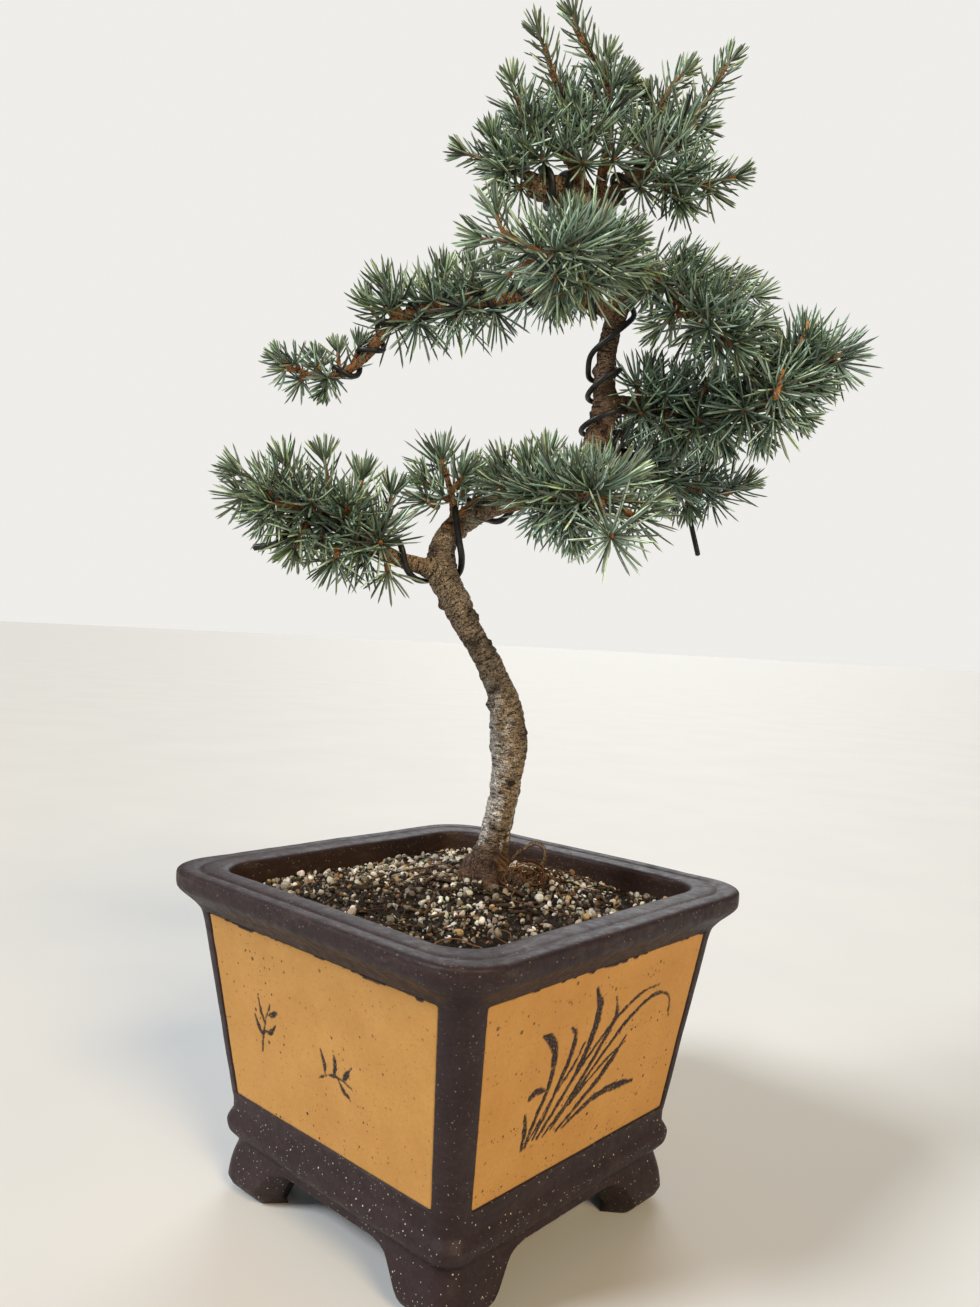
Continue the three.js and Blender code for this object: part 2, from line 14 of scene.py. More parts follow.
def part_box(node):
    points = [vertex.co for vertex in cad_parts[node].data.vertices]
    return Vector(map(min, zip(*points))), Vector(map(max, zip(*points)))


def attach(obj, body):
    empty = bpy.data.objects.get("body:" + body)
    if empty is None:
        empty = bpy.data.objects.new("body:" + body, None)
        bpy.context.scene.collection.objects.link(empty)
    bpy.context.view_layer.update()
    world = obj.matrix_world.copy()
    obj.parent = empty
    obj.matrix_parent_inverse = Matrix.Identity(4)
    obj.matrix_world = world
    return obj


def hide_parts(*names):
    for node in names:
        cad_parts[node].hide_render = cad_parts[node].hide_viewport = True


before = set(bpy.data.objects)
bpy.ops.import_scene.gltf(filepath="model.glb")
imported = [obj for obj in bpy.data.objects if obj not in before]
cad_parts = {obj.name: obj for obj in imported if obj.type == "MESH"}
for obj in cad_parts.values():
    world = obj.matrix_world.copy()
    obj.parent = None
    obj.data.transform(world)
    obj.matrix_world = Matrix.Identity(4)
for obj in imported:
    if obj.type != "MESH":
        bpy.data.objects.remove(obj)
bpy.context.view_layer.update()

MM = 0.001
POT_LO, POT_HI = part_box("pot_body")
POT_MIDDLE = np.array([(POT_LO.x + POT_HI.x) / 2, (POT_LO.y + POT_HI.y) / 2, 0.0])
HALF_ROOT = math.sqrt(0.5)
GOLDEN_TURN = math.radians(137.508)
UP = np.array([0.0, 0.0, 1.0])

# ---- The tree's skeleton: [right, away, up, radius] ----

TRUNK = [
    (10, 8, 119, 9), (10, 8, 128, 12), (10, 8, 134, 10.6), (12, 7, 141, 8), (14, 6, 151, 6.3),
    (16, 4, 166, 6.5), (17, 2, 181, 7.2), (17, 1, 191, 7.8), (14, -1, 206, 6.6), (10, -3, 216, 5.8),
    (4, -5, 227, 5.4), (-3, -7, 237, 5.4), (-8, -8, 247, 6.1), (-14, -9, 257, 6.2),
    (-15, -9, 267, 5.8), (-11, -8, 276, 5.4), (-3, -6, 283, 5), (7, -3, 289, 4.9),
    (20, 1, 295, 4.8), (34, 4, 301, 4.7), (42.5, 6, 308, 4.9), (47, 6, 317, 5), (50, 6, 327, 5.9),
    (51, 6, 335, 5.6), (50, 5, 345, 4.7), (50, 4, 356, 4.3), (52, 2, 367, 4.1), (55, 0, 377, 4.3),
    (56, -3, 390, 4.7), (50, -4, 402, 3.9), (43, -3, 412, 4),
]
LIMBS = {
    "leader": [
        (44, -3, 410, 3.8), (36, -3, 421, 3), (30, -4, 432, 2.4), (28, -5, 442, 2),
        (27, -6, 454, 1.7), (20, -8, 464, 1.3), (17, -8, 473, 1.1), (13, -8, 480, 0.8),
    ],
    "leader_right": [
        (44, -3, 411, 3.8), (43, -4, 424, 2.4), (45, -6, 446, 1.9), (44, -7, 457, 1.7),
        (40, -8, 468, 1.4), (34, -9, 474, 1.2), (26, -10, 485, 0.8),
    ],
    "stub": [
        (44, -3, 411, 4), (34, -4, 415, 5), (24, -6, 418, 5.4), (17, -8, 418, 5), (13, -8, 418, 3.6),
    ],
    "apex_left": [(20, -7, 419, 3), (10, -8, 423, 2.2), (1, -8, 426, 1.8), (-8, -8, 428, 1.2)],
    "apex_left_up": [(28, -5, 432, 2.2), (18, -7, 438, 1.8), (10, -9, 444, 1.5), (6, -10, 453, 1.1)],
    "apex_right": [
        (44, -3, 413, 3.8), (50, -3, 421, 3.6), (56, -4, 427, 3.2), (61, -4, 434, 2.8),
        (64, -4, 442, 2.2), (66, -3, 454, 1.6), (71, -2, 468, 1),
    ],
    "apex_right_up": [
        (63, -4, 435, 2.2), (70, -4, 442, 2), (79, -4, 450, 1.7), (86, -3, 463, 1.3),
        (92, -2, 477, 0.9),
    ],
    "apex_right_low": [(58, -5, 428, 2.2), (70, -8, 424, 1.8), (83, -10, 423, 1.4), (97, -12, 425, 0.9)],
    "lower_left": [
        (-14, -9, 258, 4.6), (-24, -12, 261, 3.7), (-33, -14, 263, 3.2), (-46, -17, 269, 2.7),
        (-60, -19, 276, 2.2), (-71, -21, 280, 1.8), (-84, -23, 285, 1.2),
    ],
    "low_spur": [(-11, -8, 275, 2.8), (-11, -12, 284, 1.9), (-13, -16, 292, 1.5), (-16, -19, 300, 1.0)],
    "front_low": [
        (-1, -4, 284, 3.8), (9, -20, 286, 3.2), (21, -36, 287, 2.7), (33, -50, 287, 2.2),
        (43, -59, 283, 1.5),
    ],
    "back_low": [
        (47, 6, 312, 3.6), (61, 20, 314, 3), (80, 34, 312, 2.4), (99, 44, 308, 1.8),
        (116, 48, 306, 1.1),
    ],
    "upper_left": [
        (54, 0, 371, 3.6), (37, -3, 375, 3.1), (20, -4, 376, 2.9), (3, -2, 373, 2.7),
        (-15, 0, 370, 2.6), (-30, 2, 367, 2.5), (-39, 4, 364, 2.5), (-46, 5, 356, 2.4),
        (-51, 6, 349, 2.2), (-60, 8, 342, 1.9), (-70, 9, 339, 1.6), (-82, 11, 343, 1.1),
    ],
    "front_high": [
        (54, -3, 388, 3.4), (46, -18, 386, 2.9), (36, -35, 381, 2.4), (27, -49, 376, 1.9),
        (18, -56, 372, 1.3),
    ],
    "back_high": [
        (51, -4, 398, 3.2), (46, 12, 399, 2.7), (38, 28, 396, 2.2), (28, 42, 393, 1.6),
        (18, 52, 392, 1),
    ],
    "right_high": [
        (55, -3, 384, 3), (64, -9, 388, 2.5), (70, -15, 379, 2.1), (77, -20, 367, 1.8),
        (87, -23, 361, 1.5), (97, -25, 352, 1.1),
    ],
    "right_low": [
        (51, 6, 335, 4.6), (67, 12, 336, 3.6), (85, 15, 335, 3.1), (101, 11, 333, 2.7),
        (111, 0, 334, 2.3), (117, -12, 338, 1.8), (123, -14, 349, 1.3), (127, -14, 358, 0.9),
    ],
    "right_tip": [(116, -8, 336, 1.8), (124, -12, 344, 1.5), (132, -14, 350, 1.2), (140, -16, 354, 0.8)],
}
ROOTS = {
    "root_right": [(12, 6, 133, 6), (24, 1, 131, 3.4), (34, -6, 123, 2.2)],
    "root_left": [(8, 6, 133, 6), (-2, 3, 130, 3.6), (-12, -4, 122, 2.2)],
    "root_front": [(11, 4, 133, 6), (12, -7, 130, 3.6), (8, -18, 122, 2.2)],
    "root_back": [(10, 11, 133, 6), (6, 22, 130, 3.4), (8, 34, 122, 2.2)],
    "root_loop": [
        (13, 6, 134, 2.2), (20, 4, 138.5, 1.4), (25, 3, 144, 1.25), (30.5, 3, 147.2, 1.2),
        (34.3, 2.5, 145.5, 1.15), (35, 2, 140.5, 1.2), (32, 1, 136.5, 1.3), (29, 0, 131, 1.4),
    ],
}

# ---- Meshes ----


def tree_to_pot(points):
    x, y, z = np.asarray(points, float).T
    return np.stack([(x - y) * HALF_ROOT, (x + y) * HALF_ROOT, z], 1)


def unit(v):
    v = np.asarray(v, float)
    return v / np.maximum(np.linalg.norm(v, axis=-1, keepdims=True), 1e-9)


class Shape:
    """Points and faces gathered from many small shapes, with one colour for each point."""

    def __init__(self):
        self.points, self.faces, self.colours, self.count = [], [], [], 0

    def add(self, points, faces, colour=(1, 1, 1)):
        for block in faces:
            self.faces.append(np.asarray(block) + self.count)
        self.points.append(np.asarray(points, float))
        self.colours.append(np.broadcast_to(colour, (len(points), 3)))
        self.count += len(points)

    def piece(self, name):
        colours = np.concatenate(self.colours)
        return new_piece(name, np.concatenate(self.points), self.faces, colours=colours)


def new_piece(name, points, faces, colours=None, corner_colours=None, uv=None, smooth=True, values=()):
    """A mesh object from points in the pot's axes and blocks of faces, each block of one size."""
    blocks = [np.asarray(block, np.int32) for block in faces if len(block)]
    loops = np.concatenate([block.ravel() for block in blocks])
    sizes = np.concatenate([np.full(len(block), block.shape[1]) for block in blocks])
    mesh = bpy.data.meshes.new(name)
    mesh.vertices.add(len(points))
    mesh.vertices.foreach_set("co", (np.asarray(points) * MM + POT_MIDDLE).astype(np.float32).ravel())
    mesh.loops.add(len(loops))
    mesh.loops.foreach_set("vertex_index", loops)
    mesh.polygons.add(len(sizes))
    mesh.polygons.foreach_set("loop_start", (np.cumsum(sizes) - sizes).astype(np.int32))
    mesh.polygons.foreach_set("use_smooth", np.full(len(sizes), smooth))
    mesh.update(calc_edges=True)
    if uv is not None:
        mesh.uv_layers.new(name="OFBake").data.foreach_set("uv", uv.astype(np.float32).ravel())
    for domain, given in (("POINT", colours), ("CORNER", corner_colours)):
        if given is not None:
            rgba = np.ones((len(given), 4), np.float32)
            rgba[:, :3] = given
            tint = mesh.color_attributes.new(name="tint", type="FLOAT_COLOR", domain=domain)
            tint.data.foreach_set("color", rgba.ravel())
    for key, given in dict(values).items():
        kind = "FLOAT" if given.ndim == 1 else "FLOAT_VECTOR"
        field = "value" if given.ndim == 1 else "vector"
        store = mesh.attributes.new(name=key, type=kind, domain="POINT")
        store.data.foreach_set(field, given.astype(np.float32).ravel())
    piece = bpy.data.objects.new(name, mesh)
    bpy.context.scene.collection.objects.link(piece)
    return piece


def settle(piece, material, slot, *nodes):
    piece.data.materials.append(material)
    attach(piece, "root")
    if nodes:
        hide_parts(*nodes)
    return piece


def hashed(x, y, z, seed):
    h = (x * 374761393 + y * 668265263 + z * 1440662683 + seed * 69069) & 0xFFFFFFFF
    h = ((h ^ (h >> 13)) * 1274126177) & 0xFFFFFFFF
    return ((h ^ (h >> 16)) & 0xFFFF) / 32767.5 - 1


def noise(points, size, seed=0):
    """Smooth noise from -1 to 1 with lumps of that size, the same each run."""
    q = np.asarray(points, float) / size
    cell = np.floor(q).astype(np.int64)
    f = q - cell
    f = f * f * (3 - 2 * f)
    total = 0
    for dx in (0, 1):
        for dy in (0, 1):
            for dz in (0, 1):
                share = (
                    (f[:, 0] if dx else 1 - f[:, 0])
                    * (f[:, 1] if dy else 1 - f[:, 1])
                    * (f[:, 2] if dz else 1 - f[:, 2])
                )
                total = total + share * hashed(cell[:, 0] + dx, cell[:, 1] + dy, cell[:, 2] + dz, seed)
    return total


def step_up(low, high, x):
    t = np.clip((np.asarray(x, float) - low) / (high - low), 0, 1)
    return t * t * (3 - 2 * t)


def smooth_line(points, step):
    """Points about a step apart on a smooth curve through the given ones, radius and all."""
    p = np.asarray(points, float)
    p = np.vstack([2 * p[0] - p[1], p, 2 * p[-1] - p[-2]])
    out = []
    for a, b, c, d in zip(p, p[1:], p[2:], p[3:]):
        ta, tb, tc = (max(np.linalg.norm(v[:3]), 1e-6) ** 0.5 for v in (b - a, c - b, d - c))
        m1 = tb * ((b - a) / ta - (c - a) / (ta + tb) + (c - b) / tb)
        m2 = tb * ((c - b) / tb - (d - b) / (tb + tc) + (d - c) / tc)
        count = max(1, math.ceil(np.linalg.norm((c - b)[:3]) / step))
        t = (np.arange(count) / count)[:, None]
        out.append(
            (2 * t**3 - 3 * t**2 + 1) * b
            + (t**3 - 2 * t**2 + t) * m1
            + (3 * t**2 - 2 * t**3) * c
            + (t**3 - t**2) * m2
        )
    return np.vstack(out + [p[-2:-1]])


def frames_along(path):
    tangent = unit(np.gradient(path, axis=0))
    normal = np.empty_like(tangent)
    n = np.cross(tangent[0], UP if abs(tangent[0, 2]) < 0.9 else [1.0, 0, 0])
    for i, t in enumerate(tangent):
        n = unit(n - t * (n @ t))
        normal[i] = n
    return tangent, normal, np.cross(tangent, normal)


def grid_quads(rows, width, close_rows=False, close_width=True):
    """Quads between neighbours in a grid of points, row after row, closed on itself where asked."""
    last_row, last = (rows if close_rows else rows - 1), (width if close_width else width - 1)
    i, j = np.meshgrid(np.arange(last_row), np.arange(last), indexing="ij")
    i2, j2 = (i + 1) % rows, (j + 1) % width
    return np.stack([i * width + j, i * width + j2, i2 * width + j2, i2 * width + j], -1).reshape(-1, 4)


def end_fans(rows, width):
    """Triangles that close a grid's first and last rows on the two points that come after the grid."""
    j = np.arange(width)
    k = (j + 1) % width
    top, first = (rows - 1) * width, rows * width
    start = np.stack([k, j, np.full(width, first)], 1)
    end = np.stack([top + j, top + k, np.full(width, first + 1)], 1)
    return np.vstack([start, end])


def tube(path, radii, sides):
    """A closed tube along a path: its points and its blocks of faces."""
    path = np.asarray(path, float)
    tangent, normal, side = frames_along(path)
    radii = np.broadcast_to(radii, len(path))
    turn = np.arange(sides) / sides * 2 * np.pi
    ring = normal[:, None] * np.cos(turn)[None, :, None] + side[:, None] * np.sin(turn)[None, :, None]
    points = (path[:, None] + ring * radii[:, None, None]).reshape(-1, 3)
    tips = np.stack([path[0] - tangent[0] * radii[0] * 0.4, path[-1] + tangent[-1] * radii[-1] * 0.5])
    return np.vstack([points, tips]), [grid_quads(len(path), sides), end_fans(len(path), sides)]


def line_through(points, step):
    """Points about a step apart on a smooth curve through the given ones."""
    return smooth_line([(*p, 1) for p in points], step)[:, :3]


# ---- Materials ----


class Nodes:
    """A material's node tree, with short calls for the nodes it takes."""

    def __init__(self, name, roughness=0.7, specular=0.4):
        self.material = bpy.data.materials.new(name)
        self.material.use_nodes = True
        self.tree = self.material.node_tree
        self.shader = self.tree.nodes["Principled BSDF"]
        self.shader.inputs["Roughness"].default_value = roughness
        self.shader.inputs["Specular IOR Level"].default_value = specular
        self.place = self.add("ShaderNodeTexCoord").outputs["Object"]

    def add(self, kind, inputs=None, **settings):
        node = self.tree.nodes.new(kind)
        for key, value in settings.items():
            setattr(node, key, value)
        for key, value in (inputs or {}).items():
            self.give(node.inputs[key], value)
        return node

    def give(self, socket, value):
        if isinstance(value, bpy.types.NodeSocket):
            self.tree.links.new(value, socket)
        else:
            socket.default_value = value

    def noise(self, scale, detail=3, roughness=0.55, place=None, stretch=None):
        at = place or self.place
        if stretch:
            at = self.add("ShaderNodeVectorMath", {0: at, 1: stretch}, operation="MULTIPLY").outputs[0]
        inputs = {"Vector": at, "Scale": scale, "Detail": detail, "Roughness": roughness}
        return self.add("ShaderNodeTexNoise", inputs).outputs["Fac"]

    def spots(self, scale, size, share, place=None):
        """Round spots: 1 inside them, on that share of the cells."""
        cells = self.add("ShaderNodeTexVoronoi", {"Vector": place or self.place, "Scale": scale})
        inside = self.ramp(cells.outputs["Distance"], size * 0.7, size, 1, 0)
        pick = self.add("ShaderNodeSeparateColor", {0: cells.outputs["Color"]}).outputs[0]
        return self.maths("MULTIPLY", inside, self.ramp(pick, share - 0.01, share, 1, 0))

    def maths(self, operation, a, b):
        return self.add("ShaderNodeMath", {0: a, 1: b}, operation=operation).outputs[0]

    def ramp(self, value, low, high, to_low=0.0, to_high=1.0):
        inputs = {"Value": value, "From Min": low, "From Max": high, "To Min": to_low, "To Max": to_high}
        return self.add("ShaderNodeMapRange", inputs).outputs[0]

    def mix(self, share, a, b, blend="MIX"):
        node = self.add("ShaderNodeMix", data_type="RGBA", blend_type=blend)
        self.give(node.inputs["Factor"], share)
        for key, value in ((6, a), (7, b)):
            self.give(node.inputs[key], (*value, 1) if isinstance(value, tuple) else value)
        return node.outputs[2]

    def value(self, name):
        return self.add("ShaderNodeAttribute", attribute_name=name)

    def finish(self, colour, roughness=None, bumps=()):
        self.give(self.shader.inputs["Base Color"], colour)
        if roughness is not None:
            self.give(self.shader.inputs["Roughness"], roughness)
        normal = None
        for height, distance, strength in bumps:
            inputs = {"Height": height, "Distance": distance, "Strength": strength}
            if normal is not None:
                inputs["Normal"] = normal
            normal = self.add("ShaderNodeBump", inputs).outputs[0]
        if normal is not None:
            self.give(self.shader.inputs["Normal"], normal)
        return self.material


def clay_material():
    n = Nodes("unglazed_clay", specular=0.24)
    cloud = n.ramp(n.noise(38, 5), 0.3, 0.7)
    fine = n.noise(700, 4, 0.65)
    # Painted sheen: lighter streaks, stronger toward the rim's top, stand in for the soft highlights on the
    # rim.
    sheen_streaks = n.ramp(n.noise(90, 4, 0.65, stretch=(1, 1, 3.0)), 0.52, 0.72, 0, 0.45)
    colour = n.mix(cloud, (0.025, 0.0125, 0.0145), (0.040, 0.0235, 0.0255))
    colour = n.mix(n.value("inside").outputs["Fac"], colour, (0.036, 0.017, 0.011))
    painted_sheen = n.maths("MULTIPLY", sheen_streaks, n.value("rim").outputs["Fac"])
    # Mixes in the painted sheen's lighter colour.
    colour = n.mix(painted_sheen, colour, (0.105, 0.072, 0.062))
    colour = n.mix(n.ramp(fine, 0.35, 0.65, 0.5, 0), colour, (0.011, 0.006, 0.006))
    height = n.add("ShaderNodeSeparateXYZ", {0: n.place}).outputs[2]
    low = n.ramp(height, 0.035, 0.06, 1, 0.3)
    for scale, size, share, strength, light in (
        (950, 0.24, 0.20, 0.75, (0.46, 0.42, 0.40)),
        (520, 0.19, 0.13, 0.85, (0.56, 0.50, 0.46)),
        (230, 0.10, 0.05, 0.90, (0.60, 0.45, 0.30)),
    ):
        grains = n.maths("MULTIPLY", n.spots(scale, size, share), n.maths("MULTIPLY", low, strength))
        colour = n.mix(grains, colour, light)
    rough = n.ramp(n.noise(260, 3), 0.3, 0.7, 0.42, 0.62)
    smooth = n.maths("SUBTRACT", 1, n.spots(330, 0.22, 0.16))
    bumps = [(n.noise(150, 3), 0.0006, 0.35), (fine, 0.00022, 0.6), (smooth, 0.0002, 0.5)]
    return n.finish(colour, rough, bumps)


def slip_material():
    n = Nodes("ochre_slip", specular=0.3)
    cloud = n.ramp(n.noise(45, 4), 0.3, 0.7)
    fine = n.noise(900, 3, 0.6)
    colour = n.mix(cloud, (0.50, 0.245, 0.062), (0.565, 0.295, 0.082))
    colour = n.mix(n.ramp(fine, 0.4, 0.75, 0, 0.35), colour, (0.40, 0.18, 0.04))
    patches = n.ramp(n.noise(60, 2), 0.42, 0.62, 0.35, 1)
    for scale, size, share, strength, dark in (
        (620, 0.22, 0.34, 0.85, (0.13, 0.052, 0.016)),
        (330, 0.20, 0.34, 1.00, (0.035, 0.016, 0.010)),
        (140, 0.13, 0.26, 1.00, (0.018, 0.010, 0.008)),
    ):
        grains = n.maths("MULTIPLY", n.spots(scale, size, share), n.maths("MULTIPLY", patches, strength))
        colour = n.mix(grains, colour, dark)
    colour = n.mix(n.value("edge").outputs["Fac"], colour, (0.030, 0.018, 0.018))
    ink = n.maths("MULTIPLY", n.value("ink").outputs["Fac"], n.ramp(n.noise(1300, 3), 0.30, 0.44, 0.35, 1))
    colour = n.mix(ink, colour, (0.018, 0.012, 0.014))
    rough = n.ramp(n.noise(300, 3), 0.3, 0.7, 0.55, 0.75)
    return n.finish(colour, rough, [(fine, 0.00012, 0.5), (n.noise(180, 2), 0.0004, 0.25)])


def soil_material(name, scale):
    n = Nodes(name, roughness=0.95, specular=0.15)
    tint = n.value("tint").outputs["Color"]
    mottle = n.ramp(n.noise(scale, 4, 0.7), 0.25, 0.75, 0.45, 1.25)
    colour = n.mix(1.0, tint, mottle, "MULTIPLY")
    return n.finish(colour, None, [(n.noise(scale * 2.2, 4, 0.7), 0.0004, 0.7)])


def bark_material():
    n = Nodes("bark", roughness=0.85, specular=0.25)
    tint = n.value("tint").outputs["Color"]
    wrap = n.value("wrap").outputs["Vector"]
    rings = n.noise(0.42, 4, 0.6, place=wrap, stretch=(0.40, 0.40, 2.2))
    dashes = n.noise(1.3, 3, 0.6, place=wrap, stretch=(0.45, 0.45, 2.8))
    grain = n.noise(1.7, 4, 0.7, place=wrap)
    light = n.mix(1.0, tint, (2.6, 2.6, 2.6), "MULTIPLY")
    dark = n.mix(1.0, tint, (0.26, 0.23, 0.21), "MULTIPLY")
    colour = n.mix(n.ramp(grain, 0.48, 0.66, 0, 0.75), tint, light)
    colour = n.mix(n.ramp(grain, 0.32, 0.48, 0.85, 0), colour, dark)
    crack = n.ramp(rings, 0.34, 0.44, 0.9, 0)
    colour = n.mix(crack, colour, (0.024, 0.013, 0.008))
    dash = n.ramp(dashes, 0.55, 0.61, 0, 0.9)
    colour = n.mix(dash, colour, (0.018, 0.010, 0.006))
    dots = n.spots(0.55, 0.27, 0.50, place=wrap)
    colour = n.mix(n.maths("MULTIPLY", dots, 0.8), colour, (0.022, 0.012, 0.007))
    hollow = n.maths("SUBTRACT", 1, n.maths("MAXIMUM", crack, dash))
    return n.finish(colour, None, [(hollow, 0.0009, 0.9), (grain, 0.0008, 0.8)])


def twig_material():
    n = Nodes("young_twig", roughness=0.7, specular=0.3)
    tint = n.value("tint").outputs["Color"]
    colour = n.mix(n.ramp(n.noise(900, 4, 0.7), 0.4, 0.65, 0, 0.7), tint, (0.075, 0.030, 0.012))
    return n.finish(colour, None, [(n.noise(1400, 3), 0.0003, 0.7)])


def needle_material():
    n = Nodes("needle", roughness=0.42, specular=0.45)
    tint = n.value("tint").outputs["Color"]
    paleness = n.ramp(n.noise(420, 3, 0.6), 0.35, 0.7, 0.82, 1.22)
    return n.finish(n.mix(1.0, tint, paleness, "MULTIPLY"))


def plain_material(name, dark, light, roughness, scale):
    n = Nodes(name)
    wear = n.noise(scale, 4, 0.65)
    rough = n.ramp(n.noise(scale * 0.6, 2), 0.3, 0.7, roughness - 0.08, roughness + 0.1)
    return n.finish(n.mix(n.ramp(wear, 0.42, 0.72), dark, light), rough, [(wear, 0.00012, 0.6)])


CLAY = clay_material()
SLIP = slip_material()
GRIT = soil_material("grit", 900)
HUMUS = soil_material("humus", 600)
BARK = bark_material()
TWIG = twig_material()
NEEDLE = needle_material()
WIRE = plain_material("black_wire", (0.006, 0.006, 0.006), (0.026, 0.024, 0.022), 0.42, 500)
PLASTIC = plain_material("mesh_plastic", (0.010, 0.011, 0.010), (0.022, 0.024, 0.022), 0.5, 300)

# ---- Pot ----

# The outside wall: (height, half width, corner radius). Then the rim's section: (half width, height).
WALL_STATIONS = [
    (0, 62.4, 9), (1.7, 63.8, 9), (4, 66.1, 9), (6.7, 67.0, 9.5), (9, 66.7, 9.5), (13, 66.0, 9),
    (17, 65.0, 9), (20.3, 63.8, 8.5), (22.5, 65.1, 8.5), (25.5, 67.3, 8.5), (28.8, 67.8, 8.5),
    (31.4, 66.9, 8.5), (33.5, 66.0, 8.5), (37, 66.1, 8.5), (41.2, 66.9, 9), (111, 77.4, 9.5),
    (115.6, 78.3, 8.8), (117.4, 79.5, 9.6), (119.4, 81.2, 10.8), (121.5, 83.6, 13), (123.5, 86.0, 16),
    (125.5, 88.3, 20), (127, 89.25, 21.6), (128.5, 89.42, 22), (131.2, 89.45, 22),
]
RIM_PATH = [
    (89.45, 131.4), (89.3, 132.2), (88.8, 132.85), (88.0, 133.25), (86.8, 133.4), (84.2, 133.35),
    (83.1, 133.1), (82.3, 132.5), (81.5, 132.9), (80.4, 133.3), (77.5, 133.3), (75, 133.2),
    (73.4, 133.0), (72.6, 132.4), (72.3, 131.3), (72.1, 128), (71.9, 125), (71.2, 121), (70.5, 118),
    (66.5, 85), (62.5, 50), (60, 30), (58.5, 26), (55, 24.2), (50, 24),
]
# The lower edge between the feet, by its distance from the middle of the side.
ARCH = [
    (0, 17.7), (26, 17.7), (31, 16.9), (34, 15.5), (36, 13.1), (40.8, 5.7), (43.4, 1.9), (44.4, 0.6),
    (45.4, 0), (200, 0),
]
PANEL_LOW, PANEL_HIGH = 41.2, 115.6
PANEL_HALVES = (57.1, 66.6)
PANEL_CORNER = 1.1
FLAT_TOP = 111  # the wall is straight from the panel's foot up to here
WALL_LOW_HALF, WALL_HIGH_HALF = 66.9, 78.1
LEAN = math.atan2(WALL_HIGH_HALF - WALL_LOW_HALF, PANEL_HIGH - PANEL_LOW)
PANEL_SLOPE = math.hypot(WALL_HIGH_HALF - WALL_LOW_HALF, PANEL_HIGH - PANEL_LOW)
BED_DEPTH = 1.5
UNDERSIDE, FLOOR, DRAIN, FOOT_INSIDE = 17.7, 24.0, 9.0, 53.0
FOOT_EDGE = [(8.5, 0.0), (3.6, 0.0), (1.6, 0.05), (0.8, 0.25), (0.3, 0.6), (0.0, 1.2)]  # inset, rise
APRON_TOP = 20.6
LEVELS = [
    *np.arange(21.5, 41, 0.75), 40.6, 41.0, 41.3, 41.6, 42.0, 42.6, *np.linspace(44, 113.5, 30),
    114.4, 114.9, 115.3, 115.6, 116.0, 116.8, 118, 119.4, 120.8, 122.2, 123.6, 125, 126.2, 127.2, 128.2,
    129.6, 130.6,
]


def eased(xs, ys, x):
    """A smooth curve through stations that never overshoots them."""
    xs, ys = np.asarray(xs, float), np.asarray(ys, float)
    run, slope = np.diff(xs), np.diff(ys) / np.diff(xs)
    m = np.concatenate([[slope[0]], np.zeros(len(xs) - 2), [slope[-1]]])
    both = slope[:-1] * slope[1:] > 0
    m[1:-1][both] = 2 * slope[:-1][both] * slope[1:][both] / (slope[:-1] + slope[1:])[both]
    i = np.clip(np.searchsorted(xs, x) - 1, 0, len(run) - 1)
    t = (x - xs[i]) / run[i]
    a, b = (2 * t**3 - 3 * t**2 + 1), (t**3 - 2 * t**2 + t)
    return a * ys[i] + b * run[i] * m[i] + (1 - a) * ys[i + 1] + (t**3 - t**2) * run[i] * m[i + 1]


def wall_half(z):
    zs, halves, _ = zip(*WALL_STATIONS)
    flat = (z > PANEL_LOW) & (z < FLAT_TOP)
    return np.where(flat, np.interp(z, zs, halves), eased(zs, halves, z))


def wall_radius(z):
    zs, _, radii = zip(*WALL_STATIONS)
    return np.interp(z, zs, radii)


def columns():
    """The pot's upright grid lines: (side, share along its straight part, share round its corner)."""
    edge = [0.9905, 0.9865, 0.9835, 0.9800, 0.9750, 0.965, 0.945]
    shares = sorted([*edge, *(-e for e in edge), *np.linspace(-0.92, 0.92, 63)])
    out = []
    for side in range(4):
        out += [(side, -1.0, 0.0), *((side, s, 0.0) for s in shares)]
        out += [(side, 1.0, t) for t in np.linspace(0, 1, 13)[:-1]]
    return np.array(out)


def ring_at(cols, half, radius):
    """Points of a rounded square, one for each column, by the column's place on its side."""
    side, share, turn = cols.T
    reach = half - radius
    angle = turn * np.pi / 2
    x = np.where(share < 1, share * reach, reach + radius * np.sin(angle))
    y = np.where(share < 1, -half, -(reach + radius * np.cos(angle)))
    c, s = np.cos(side * np.pi / 2), np.sin(side * np.pi / 2)
    return np.stack([x * c - y * s, x * s + y * c], 1)


def clay_wobble(points):
    return 0.22 * noise(points, 24, 5) + 0.10 * noise(points, 7, 6) + 0.035 * noise(points, 2.2, 7)


def panel_point(u, v, depth, side):
    """A place on a wall's panel: across, up the slope and behind the wall's face, in the pot's axes."""
    y = -WALL_LOW_HALF - v * math.sin(LEAN) + depth * math.cos(LEAN)
    z = PANEL_LOW + v * math.cos(LEAN) + depth * math.sin(LEAN)
    c, s = math.cos(side * math.pi / 2), math.sin(side * math.pi / 2)
    return np.stack([u * c - y * s, u * s + y * c, z], -1)


def panel_half(v):
    return PANEL_HALVES[0] + (PANEL_HALVES[1] - PANEL_HALVES[0]) * v / PANEL_SLOPE


def panel_margin(u, v):
    """How far inside the panel's rounded outline a place is."""
    dx = np.abs(u) - (panel_half(v) - PANEL_CORNER)
    dy = np.abs(v - PANEL_SLOPE / 2) - (PANEL_SLOPE / 2 - PANEL_CORNER)
    outside = np.hypot(np.maximum(dx, 0), np.maximum(dy, 0)) + np.minimum(np.maximum(dx, dy), 0)
    return PANEL_CORNER - outside


